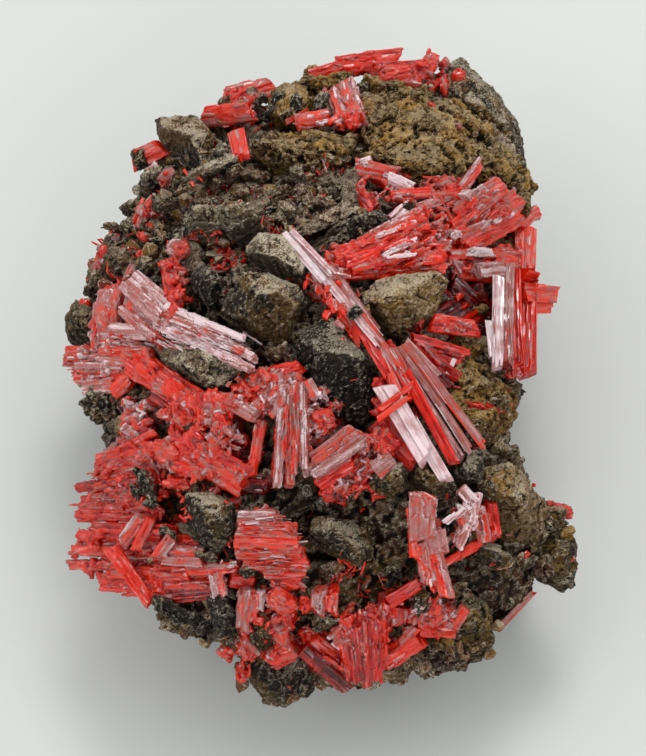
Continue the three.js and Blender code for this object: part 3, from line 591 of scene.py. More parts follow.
def rock_finish(name, tones, stain, dust_and_highlight, gleam, stain_share=0.5, pale=PALE_GREY, slope=0.66,
                bump=0.0009, own_tone=False, bedded=False, drift=None):
    """tones run from the darkest to the palest rock; own_tone reads them from the pieces.
    pale is the colour of worn edges and of the dust that lies on faces beyond the slope, which is
    also a painted highlight where those faces turn to the lamp."""
    material, tree, shader = shader_material(name)
    place = vectors(tree, "SCALE", tree.nodes.new("ShaderNodeTexCoord").outputs["Object"], 1000.0)
    facing = tree.nodes.new("ShaderNodeNewGeometry").outputs["Normal"]
    proud = add(tree, "ShaderNodeAttribute", {"attribute_name": "proud"}).outputs["Fac"]
    mottle = cloudy(tree, place, 0.5, 7.0, 0.72)
    tone = remapped(tree, mottle, 0.34, 0.66)
    if own_tone:
        tone = add(tree, "ShaderNodeAttribute", {"attribute_name": "tone"}).outputs["Fac"]
        tone = maths(tree, "ADD", tone, maths(tree, "MULTIPLY", maths(
            tree, "SUBTRACT", mottle, 0.5), 0.5))
    body = colour_ramp(tree, tone, tones)
    lie = place
    if bedded:
        turned = add(tree, "ShaderNodeVectorRotate", None, {
            "Vector": place, "Axis": tuple(OUTWARD), "Angle": BEDDING_TURN}).outputs[0]
        lie = vectors(tree, "MULTIPLY", turned, BEDDING_STRETCH)
    patch = add(tree, "ShaderNodeTexNoise", {"noise_dimensions": "4D"},
                {"Vector": lie, "W": 4.7, "Scale": 0.17, "Detail": 5.0}).outputs[0]
    stained = maths(tree, "MULTIPLY", remapped(tree, patch, 0.46, 0.56), stain_share)
    body = mixed(tree, stained, body, stain)
    if drift:
        wide = cloudy(tree, place, 0.055, 6.0, 0.65)
        body = mixed(tree, maths(tree, "MULTIPLY", remapped(tree, wide, 0.5, 0.58), DRIFT_SHARE),
                     body, drift)
    fleck = cloudy(tree, place, 2.6, 5.0, 0.8)
    wear_and_shade = add(tree, "ShaderNodeGroup", {"node_tree": WEAR_AND_SHADE}, {"Position": place, "Proud": proud})
    body = mixed(tree, maths(tree, "MULTIPLY", wear_and_shade.outputs["Edge"], EDGE_SHARE), body, pale)
    # Crevices are painted with shade.
    body = mixed(tree, maths(tree, "MULTIPLY", wear_and_shade.outputs["Painted Crevice Shade"], CREVICE_SHADE_SHARE), body,
                 CREVICE_PAINTED_SHADE)
    look = facing
    if not own_tone:
        look = add(tree, "ShaderNodeAttribute", {"attribute_name": "look"}).outputs["Vector"]
        look = vectors(tree, "ADD", vectors(tree, "SCALE", look, 0.5),
                       vectors(tree, "SCALE", facing, 0.5))
        # Faces turned away from the lamp are painted with shade.
        steep_shade = remapped(tree, vectors(tree, "DOT_PRODUCT", look, TOWARDS_LAMP), 0.8, 0.35)
        body = mixed(tree, maths(tree, "MULTIPLY", steep_shade, STEEP_SHADE_SHARE), body, STEEP_PAINTED_SHADE)
    # Pale dust, and a painted highlight where faces turn to the lamp.
    dust_and_highlight_mask = add(tree, "ShaderNodeGroup", {"node_tree": DUST_AND_HIGHLIGHT}, {
        "Position": place, "Normal": look, "Lowest Slope": slope, "Amount": dust_and_highlight})
    body = mixed(tree, dust_and_highlight_mask.outputs["Mask"], body, pale)
    tree.links.new(body, shader.inputs["Base Color"])
    gloss = remapped(tree, fleck, 0.42, 0.56)
    rough = maths(tree, "ADD", SMOOTHEST, maths(tree, "MULTIPLY", gloss, ROUGHER_BY))
    tree.links.new(rough, shader.inputs["Roughness"])
    shader.inputs["Specular IOR Level"].default_value = gleam
    fine = cloudy(tree, place, 2.0, 8.0, 0.8)
    broken = facing
    for size, tilt in ROCK_FACETS:
        broken = add(tree, "ShaderNodeGroup", {"node_tree": FACETS}, {
            "Vector": place, "Normal": broken, "Scale": size, "Tilt": tilt}).outputs[0]
    relief = add(tree, "ShaderNodeBump", None, {
        "Strength": 1.0, "Distance": bump, "Height": fine, "Normal": broken})
    tree.links.new(relief.outputs[0], shader.inputs["Normal"])
    return material


BLACKSTONE = rock_finish("black ironstone", [
    (0.0, (0.003, 0.002, 0.0015)), (0.5, (0.010, 0.007, 0.004)), (1.0, (0.045, 0.03, 0.015))],
    stain=(0.05, 0.024, 0.006, 1), stain_share=0.6, dust_and_highlight=0.58, slope=0.72, gleam=0.3)
IRONSTONE = rock_finish("ironstone", [
    (0.0, (0.005, 0.003, 0.0015)), (0.5, (0.03, 0.018, 0.006)), (1.0, (0.15, 0.085, 0.026))],
    stain=(0.23, 0.11, 0.017, 1), stain_share=0.85, dust_and_highlight=0.72, gleam=0.3, bedded=True)
GREYSTONE = rock_finish("grey ironstone", [
    (0.0, (0.016, 0.010, 0.006)), (0.45, (0.13, 0.088, 0.052)), (1.0, (0.32, 0.24, 0.155))],
    stain=(0.16, 0.08, 0.018, 1), dust_and_highlight=1.0, slope=0.56, gleam=0.3, bedded=True)
LIMONITE = rock_finish("limonite", [
    (0.0, (0.04, 0.016, 0.003)), (0.42, (0.33, 0.15, 0.018)), (1.0, (0.66, 0.39, 0.09))],
    stain=(0.06, 0.026, 0.007, 1), stain_share=0.8, pale=(0.66, 0.50, 0.29, 1), dust_and_highlight=0.55,
    gleam=0.15)
TANSTONE = rock_finish("tan stone", [
    (0.0, (0.016, 0.008, 0.003)), (0.42, (0.31, 0.17, 0.05)), (1.0, (0.60, 0.41, 0.18))],
    stain=(0.38, 0.18, 0.024, 1), stain_share=0.7, dust_and_highlight=0.8, slope=0.56, bump=0.001,
    gleam=0.25)
DARK_LIMONITE = rock_finish("dark limonite", [
    (0.0, (0.010, 0.005, 0.002)), (0.45, (0.155, 0.078, 0.014)), (1.0, (0.48, 0.27, 0.055))],
    stain=(0.018, 0.010, 0.004, 1), stain_share=0.75, pale=(0.6, 0.5, 0.34, 1), dust_and_highlight=0.5,
    slope=0.7, gleam=0.18, bedded=True)
GOSSAN = rock_finish("gossan", [
    (0.0, (0.006, 0.004, 0.003)), (0.45, (0.07, 0.036, 0.017)), (1.0, (0.29, 0.165, 0.08))],
    stain=(0.15, 0.036, 0.018, 1), dust_and_highlight=0.5, gleam=0.2, drift=(0.22, 0.115, 0.025, 1))
RUBBLE = rock_finish("rubble", [
    (0.0, (0.005, 0.0035, 0.0025)), (0.26, (0.022, 0.013, 0.006)), (0.45, (0.12, 0.06, 0.018)),
    (0.62, (0.26, 0.135, 0.026)), (0.8, (0.30, 0.20, 0.10)), (0.9, (0.28, 0.06, 0.04)),
    (1.0, (0.2, 0.03, 0.02))],
    stain=(0.13, 0.024, 0.015, 1), dust_and_highlight=0.65, bump=0.0005, gleam=0.25, own_tone=True)
print("rock finishes:", [finish.name for finish in (
    BLACKSTONE, IRONSTONE, GREYSTONE, LIMONITE, TANSTONE, DARK_LIMONITE, GOSSAN, RUBBLE)])

# %% [markdown]
# ## The groundmass
# The groundmass is the lump that everything grows on. A ball is reshaped so that its upper
# half follows the crown and its lower half draws in to the flat base, as in the CAD. Two
# pockets are pressed into it, the vugs where crystals grew free. Then the broken stone rule
# chips it all over, so its flanks and back look broken too.

# %% Groundmass
MATRIX_SKIN = 2.2
BASE_TAPER = 1.45
FLANK_BLOCK = 13.0
FLANK_STEP = 2.6
MATRIX_RIM = [
    (35.5, 12), (35.5, 24), (34.5, 33), (32, 42), (26, 49.5), (16, 51), (4, 49.5), (-6, 46.5),
    (-15, 44), (-23, 42), (-27.5, 34), (-31, 26.5), (-36, 18), (-39.5, 9), (-38.5, 1), (-35, -7),
    (-31, -14), (-28, -22), (-27, -30), (-25.5, -39), (-19, -39.5), (-13, -45), (-7, -52),
    (0, -50), (10, -47.5), (23, -46), (30, -41.5), (36, -34), (38.5, -26), (34, -15),
    (30.5, -8), (33, 0),
]
# across, up, reach across, reach up, depth of each pocket and height of each swell
POCKETS = [(-10.4, -14, 4.6, 7.5, 9.0), (24.4, 13, 4.4, 4.6, 8.5)]
SWELLS = [(-1, 28, 10, 9, 1.8), (-20, 28, 9, 7, 0.8), (20, 40, 11, 8, 1.0), (26, -3, 6, 8, 0.8),
          (12, -24, 9, 6, 0.6), (-20, 12, 7, 5, 0.5)]


def bump_shape(across, up, centre_across, centre_up, reach_across, reach_up):
    away = math.hypot((across - centre_across) / reach_across, (up - centre_up) / reach_up)
    return 0.0 if away >= 1 else (1 - away * away) ** 2


def ground_lift(across, up):
    lift = -MATRIX_SKIN + 1.2 * math.sin(across / 5.3 + 0.6) * math.cos(up / 6.1)
    lift += 0.9 * math.sin(up / 3.7 + across / 8.2)
    for *shape, depth in POCKETS:
        lift -= depth * bump_shape(across, up, *shape)
    for *shape, height in SWELLS:
        lift += height * bump_shape(across, up, *shape)
    return lift


def rim_place(angle):
    count = len(MATRIX_RIM)
    turn = (angle / (2 * math.pi)) % 1.0 * count
    first = int(turn) % count
    share = turn - int(turn)
    before, here, after, beyond = (Vector(MATRIX_RIM[(first + k) % count]) for k in (-1, 0, 1, 2))
    bend = (2 * here + (after - before) * share
            + (2 * before - 5 * here + 4 * after - beyond) * share ** 2
            + (3 * here - before - 3 * after + beyond) * share ** 3) / 2
    return bend.x, bend.y


def flank_step(place):
    """How far the broken block that a place on the flanks belongs to stands out there."""
    seed = noise.voronoi(place / FLANK_BLOCK)[1][0]
    lean = noise.cell_vector(seed * 50) - Vector((0.5, 0.5, 0.5))
    return FLANK_STEP * (lean.x + lean.y + 1.3 * lean.dot(place / FLANK_BLOCK - seed))


def ground_point(direction):
    reach = math.hypot(direction.x, direction.y)
    across, up = rim_place(math.atan2(direction.y, direction.x))
    if direction.z >= 0:
        return on_face(across * reach, up * reach, ground_lift(across * reach, up * reach))
    rim = on_face(across, up, ground_lift(across, up))
    height = max(rim.z * (1 + BASE_TAPER * direction.z), 0.0)
    place = Vector((rim.x * reach, rim.y * reach, height))
    out = Vector((direction.x, direction.y, 0)).normalized()
    return place + out * flank_step(place) * min(1.0, -4 * direction.z)


def groundmass():
    ball = bmesh.new()
    bmesh.ops.create_icosphere(ball, subdivisions=6, radius=1.0)
    for vertex in ball.verts:
        vertex.co = ground_point(vertex.co.normalized()) * MM
    bmesh.ops.recalc_face_normals(ball, faces=ball.faces)
    mesh = bpy.data.meshes.new("groundmass")
    ball.to_mesh(mesh)
    ball.free()
    lump = link_object("groundmass", mesh)
    run_rule(lump, BROKEN_STONE, voxel=0.0006, Material=GOSSAN, Block_Size=0.0085,
             Block_Depth=0.0016, Chip_Size=0.0036, Chip_Depth=0.0008, Flake_Size=0.0016,
             Flake_Depth=0.0003, Grain_Depth=0.0001, Seed=2.0)
    return finished(lump, "gossan", "matrix_groundmass")


GROUND = groundmass()
print("groundmass triangles:", triangles(GROUND))

# %% [markdown]
# ## The clasts
# Clasts are angular blocks that were broken off and cemented in. Their CAD nodes are plain
# convex blocks. Each clast is the node's own block and several copies of it that are cut more
# deeply and moved a little, so that ledges with straight edges stand on its faces. Together
# they are remeshed evenly and then chipped lightly by the same rule.

# %% Clasts
CLAST_FINISH = [
    ("ironstone", IRONSTONE, "peak_block top_left_block outer_left_nub back_right_crust "
     "right_dark_block lower_centre_block lower_left_block small_dark_block bottom_block "
     "mid_shard_left mid_shard_right"),
    ("ironstone", BLACKSTONE, "centre_block left_shoulder black_nodules grey_sliver"),
    ("ironstone", GREYSTONE, "upper_slab ridge_left roof_ridge ridge_right speckled_slab"),
    ("gossan", GOSSAN, "slope_slab_upper slope_slab_lower"),
    ("limonite", LIMONITE, "ochre_mass ochre_ridge back_gold_block right_ochre_lumps"),
    ("limonite", TANSTONE, "limonite_right_centre right_tan_block"),
    ("limonite", DARK_LIMONITE, "left_edge_limonite right_edge_knob lower_limonite_block"),
]


# Big flat faces of the largest blocks: where each looks (across, up, out) and the share of the
# block that it cuts away. The other blocks get flat faces that look all ways.
FLATS = {
    "peak_block": [(0.1, -0.45, 0.89, 0.3), (0.62, 0.42, 0.66, 0.26), (-0.8, 0.2, 0.56, 0.26),
                   (-0.1, 0.72, 0.68, 0.2), (0.8, -0.5, 0.3, 0.2), (-0.5, -0.8, 0.3, 0.2),
                   (0.3, 0.9, 0.3, 0.14)],
    "centre_block": [(0.05, -0.35, 0.94, 0.28), (0.1, 0.7, 0.7, 0.28), (-0.85, -0.2, 0.5, 0.2),
                     (0.85, -0.1, 0.5, 0.2), (-0.4, 0.8, 0.4, 0.16), (0.6, 0.7, 0.4, 0.16)],
    "speckled_slab": [(0.05, 0.1, 0.99, 0.26), (0.5, -0.6, 0.6, 0.14), (-0.6, 0.6, 0.5, 0.14)],
    "top_left_block": [(0.3, 0.3, 0.9, 0.3), (-0.8, -0.35, 0.5, 0.3), (0.9, 0.1, 0.4, 0.16),
                       (-0.2, 0.9, 0.4, 0.14), (0.2, -0.9, 0.4, 0.14)],
    "upper_slab": [(0.1, 0.55, 0.83, 0.26), (0.2, -0.4, 0.89, 0.18), (0.9, -0.1, 0.4, 0.14)],
    "limonite_right_centre": [(0.1, -0.3, 0.95, 0.26), (-0.3, 0.62, 0.72, 0.2),
                              (0.75, 0.1, 0.65, 0.2), (-0.7, -0.6, 0.4, 0.16),
                              (0.6, -0.7, 0.4, 0.16)],
    "right_tan_block": [(0.25, 0.5, 0.83, 0.24), (-0.1, -0.6, 0.8, 0.26), (0.9, 0.1, 0.4, 0.14)],
    "back_right_crust": [(0.5, 0.5, 0.7, 0.1)],
}
LEDGES = 6
CRUMBLY = ("ochre_mass", "ochre_ridge", "back_gold_block", "right_ochre_lumps")


def cut_flat(points, normal, share):
    """Corners of the hull of the points once a flat face has cut a share of its size away."""
    middle = sum(points, Vector()) / len(points)
    reach = max((p - middle).dot(normal) for p in points)
    size = min(max((p - middle).length for p in points), 1.6 * reach)
    shape = bmesh.new()
    for p in points:
        shape.verts.new(p)
    bmesh.ops.convex_hull(shape, input=shape.verts)
    bmesh.ops.bisect_plane(shape, geom=shape.verts[:] + shape.edges[:] + shape.faces[:],
                           plane_co=middle + normal * (reach - share * size),
                           plane_no=normal, clear_outer=True)
    points = [v.co.copy() for v in shape.verts]
    shape.free()
    return points


def spread_normals(draw, count):
    """Directions that stand well apart from each other."""
    normals = []
    while len(normals) < count:
        normal = any_way(draw)
        if all(normal.dot(other) < 0.72 for other in normals):
            normals.append(normal)
    return normals


def chipped(points, chips, depth, draw):
    """Hull of the points with many corners and edges cut away by flat chips."""
    for _ in range(chips):
        normal = any_way(draw)
        points = cut_flat(points, normal, draw.uniform(0.25, 1.0) * depth)
    return points


def joined_hulls(name, hulls):
    joined = bmesh.new()
    for corners in hulls:
        shape = hull_mesh(name, corners)
        joined.from_mesh(shape)
        bpy.data.meshes.remove(shape)
    mesh = bpy.data.meshes.new(name)
    joined.to_mesh(mesh)
    joined.free()
    return mesh


def hull_mesh(name, points):
    shape = bmesh.new()
    for p in points:
        shape.verts.new(p)
    make_hull(shape)
    bmesh.ops.recalc_face_normals(shape, faces=shape.faces)
    mesh = bpy.data.meshes.new(name)
    shape.to_mesh(mesh)
    shape.free()
    return mesh


FREE_CUTS = 9
FREE_CUT_SHARES = (0.16, 0.26)
LEDGE_CUT = 0.36
LEDGE_SHRINK = 0.99
LEDGE_LIFT = (0.0001, 0.0005)


def clast_piece(name, slot, material, seed):
    node = "clast_" + name
    points = {tuple(round(c, 6) for c in v.co) for v in frame["nodes"][node].data.vertices}
    points = [Vector(p) for p in sorted(points)]
    draw = random.Random(seed)
    for across, up, out, share in FLATS.get(name, []):
        looks = ACROSS * across + UPWARD * up + OUTWARD * out
        points = cut_flat(points, looks.normalized(), share)
    for normal in [] if name in FLATS or name in CRUMBLY else spread_normals(draw, FREE_CUTS):
        points = cut_flat(points, normal, draw.uniform(*FREE_CUT_SHARES))
    middle = sum(points, Vector()) / len(points)
    ledges = [chipped(points, 4, 0.03, draw)]
    for _ in range(LEDGES):
        lift = any_way(draw) + OUTWARD * 0.7
        cut = chipped([middle + (p - middle) * LEDGE_SHRINK for p in points], 5, LEDGE_CUT, draw)
        ledges.append([p + lift * draw.uniform(*LEDGE_LIFT) for p in cut])
    block = link_object(name + "_stone", joined_hulls(node, ledges))
    rough = name in CRUMBLY
    run_rule(block, BROKEN_STONE, voxel=0.00033, Material=material, Block_Size=0.006,
             Block_Depth=0.0013 if rough else 0.0003, Chip_Size=0.0024,
             Chip_Depth=0.0005 if rough else 0.0003, Flake_Size=0.0009,
             Flake_Depth=0.00024 if rough else 0.00017, Grain_Depth=0.00009, Seed=seed)
    return finished(block, slot, node)


clasts = []
for slot_name, stone, names in CLAST_FINISH:
    for name in names.split():
        clasts.append(clast_piece(name, slot_name, stone, 5.0 + 1.3 * len(clasts)))
print("clasts:", len(clasts), "triangles:", sum(len(c.data.polygons) for c in clasts) * 2)

# %% [markdown]
# ## Rubble
# Between the clasts lies rubble, thousands of chips from a crumb to a pea in size. A few dozen
# stone shapes are made first: the hull of random points, with a narrow worn face along every
# edge. They are then used twice. Heaps are placed on the face, where the real rubble lies, and
# a Geometry Nodes tree scatters crumbs over the groundmass, flanks and back included, but
# nowhere so low that a stone would reach below the base.

# %% Stone shapes
def stone_shape(draw, corners, flatness, worn):
    """Corners, faces and which of the faces are worn edges, for a stone about 1 across."""
    shape = bmesh.new()
    for _ in range(corners):
        spot = any_way(draw)
        spot *= draw.uniform(0.8, 1.0) * 0.5
        shape.verts.new((spot.x, spot.y * draw.uniform(0.7, 1.0), spot.z * flatness))
    make_hull(shape)
    bmesh.ops.dissolve_limit(shape, angle_limit=math.radians(14), verts=shape.verts,
                             edges=shape.edges)
    edge_faces = set()
    if worn:
        made = bmesh.ops.bevel(shape, geom=shape.edges[:], offset=worn, segments=1,
                               affect="EDGES", clamp_overlap=True)
        edge_faces = set(made["faces"])
    bmesh.ops.recalc_face_normals(shape, faces=shape.faces)
    shape.verts.index_update()
    points = [v.co.copy() for v in shape.verts]
    faces = [tuple(v.index for v in f.verts) for f in shape.faces]
    flags = [1.0 if f in edge_faces else 0.0 for f in shape.faces]
    shape.free()
    return points, faces, flags


shape_draw = random.Random(4)
BIG_STONES = [stone_shape(shape_draw, shape_draw.choice((9, 11, 13)), shape_draw.uniform(0.4, 0.9),
                          0.035) for _ in range(24)]
CRUMBS = [stone_shape(shape_draw, 8, shape_draw.uniform(0.5, 1.0), 0) for _ in range(10)]
print("stone shapes:", len(BIG_STONES), "big,", len(CRUMBS), "crumbs")


# %% [markdown]
# ### Heaps
# A heap is an oval of the face with stones let down onto it. The list below gives the ovals;
# the heaps are made at once, and what touches nothing is dropped from them near the end.

# %% Heaps of stones
class Heap:
    """Collects stones, then makes one mesh of them."""

    def __init__(self, seed):
        self.draw = random.Random(seed)
        self.points, self.faces, self.tones, self.worn = [], [], [], []

    def stone(self, place, size, turn, tone):
        points, faces, flags = self.draw.choice(BIG_STONES)
        first = len(self.points)
        self.points += [place + turn @ (p * size) for p in points]
        self.faces += [tuple(first + k for k in face) for face in faces]
        self.tones += [tone] * len(faces)
        self.worn += flags

    def spill(self, centre, reach, count, size, tone, spread=0.1, lift=1.0, lie=0.6):
        """Stones over an oval of the face; lie is how far slabs settle flat on it."""
        draw = self.draw
        for _ in range(count):
            across, up = oval_spot(draw, centre, reach)
            place = settled(across, up, centre[2] + draw.uniform(-lift, lift))
            if place is None:
                continue
            wild = any_way(draw)
            facing = (OUTWARD * lie + wild * (1 - lie)).normalized()
            turn = facing.to_track_quat("Z", "Y").to_matrix()
            turn = turn @ Matrix.Rotation(draw.uniform(0, 2 * math.pi), 3, "Z")
            self.stone(place, draw.uniform(*size), turn, tone + draw.gauss(0, spread))

    def mesh(self, name, material):
        made = bpy.data.meshes.new(name)
        made.from_pydata([p * MM for p in self.points], [], self.faces)
        face_numbers(made, "tone", np.clip(self.tones, 0, 1))
        face_numbers(made, "proud", self.worn)
        made.materials.append(material)
        return made


# %% Where the heaps lie
# centre (across, up, lift), reach, count, sizes, tone: 0 black, 0.3 dark, 0.5 brown,
# 0.66 ochre, 0.8 tan, 0.9 to 1 mauve red
HEAPS = [
    ((-32, 21, 0.6), (7, 8), 46, (1.5, 4.6), 0.56, {"spread": 0.2, "lift": 1.2}),
    ((-19, 31, 1.8), (8, 6.5), 70, (1.4, 4.8), 0.45, {"spread": 0.2, "lift": 1.6}),
    ((-7, 28.5, 2.2), (7, 5.5), 70, (1.0, 3.8), 0.48, {"spread": 0.2, "lift": 1.6}),
    ((2.5, 31.5, 1.8), (4.5, 6), 46, (1.0, 3.4), 0.5, {"spread": 0.2, "lift": 1.4}),
    ((-19, 22, 1.2), (6, 4), 34, (1.2, 3.4), 0.4, {"spread": 0.2}),
    ((-2, 38, 1.6), (9, 3.2), 80, (0.8, 2.4), 0.62, {"spread": 0.08}),
    ((-10, 44.4, 0.4), (7, 3), 30, (1.4, 4.0), 0.5, {"spread": 0.2}),
    ((19, 40, 1.8), (12, 7), 140, (0.6, 2.0), 0.65, {"spread": 0.07, "lift": 0.8}),
    ((27, -1, 0.2), (6, 9), 70, (1.0, 3.6), 0.58, {"spread": 0.12, "lift": 1.4}),
    ((22, -11, 1.0), (6, 6), 40, (1.0, 3.4), 0.45, {"spread": 0.18, "lift": 1.4}),
    ((30, -24, 0.6), (8, 9), 70, (1.0, 3.8), 0.45, {"spread": 0.2, "lift": 1.5}),
    ((20, -33, 0.4), (7, 5), 44, (0.9, 3.0), 0.5, {"spread": 0.2, "lift": 1.2}),
    ((2, -37, 0.6), (6, 5), 50, (0.9, 2.6), 0.45, {"spread": 0.2, "lift": 1.2}),
    ((9, -14, 0.6), (6, 4), 40, (0.9, 2.6), 0.38, {"spread": 0.2}),
    ((-15, -20, 0.0), (5, 7), 40, (1.0, 2.6), 0.35, {"spread": 0.2}),
    ((-24, -12, -0.8), (8, 7), 24, (0.9, 2.6), 0.5, {"spread": 0.25}),
    ((-17, -40, -0.6), (8, 7), 50, (1.2, 4.0), 0.32, {"spread": 0.15}),
    ((-6, -49, -2), (9, 5), 50, (1.2, 4.0), 0.36, {"spread": 0.18}),
    ((20, -43, -1.5), (12, 5), 50, (1.2, 3.8), 0.55, {"spread": 0.15}),
    ((-35, -1, -1), (5, 6), 30, (1.2, 3.8), 0.3, {"spread": 0.12}),
    ((24, 47, 0), (8, 6), 50, (1.0, 3.0), 0.5, {"spread": 0.2}),
    ((33, 27, -0.5), (3, 10), 40, (1.2, 3.6), 0.55, {"spread": 0.15}),
    ((9.5, 24.6, 2.2), (3.4, 2.6), 20, (1.0, 2.6), 0.2, {"spread": 0.1}),
    ((5, 11.5, 1.0), (5, 5), 40, (0.8, 2.4), 0.42, {"spread": 0.2}),
]
heap = Heap(21)
for centre, reach, count, size, tone, settings in HEAPS:
    heap.spill(centre, reach, count, size, tone, **settings)
HEAP_PIECE = link_object("rubble_heaps", heap.mesh("rubble heaps", RUBBLE))
print("heaps:", len(HEAPS), "faces:", len(heap.faces))


# %% [markdown]
# ### Fragments
# The fragments are blocks of 2 to 10 mm, between a clast and a chip in size. Each is the hull
# of a few random corners of a box, chipped like a clast. All the fragments of one kind of rock
# go through the remesh together, so that they weld where they touch, as cemented rock does.

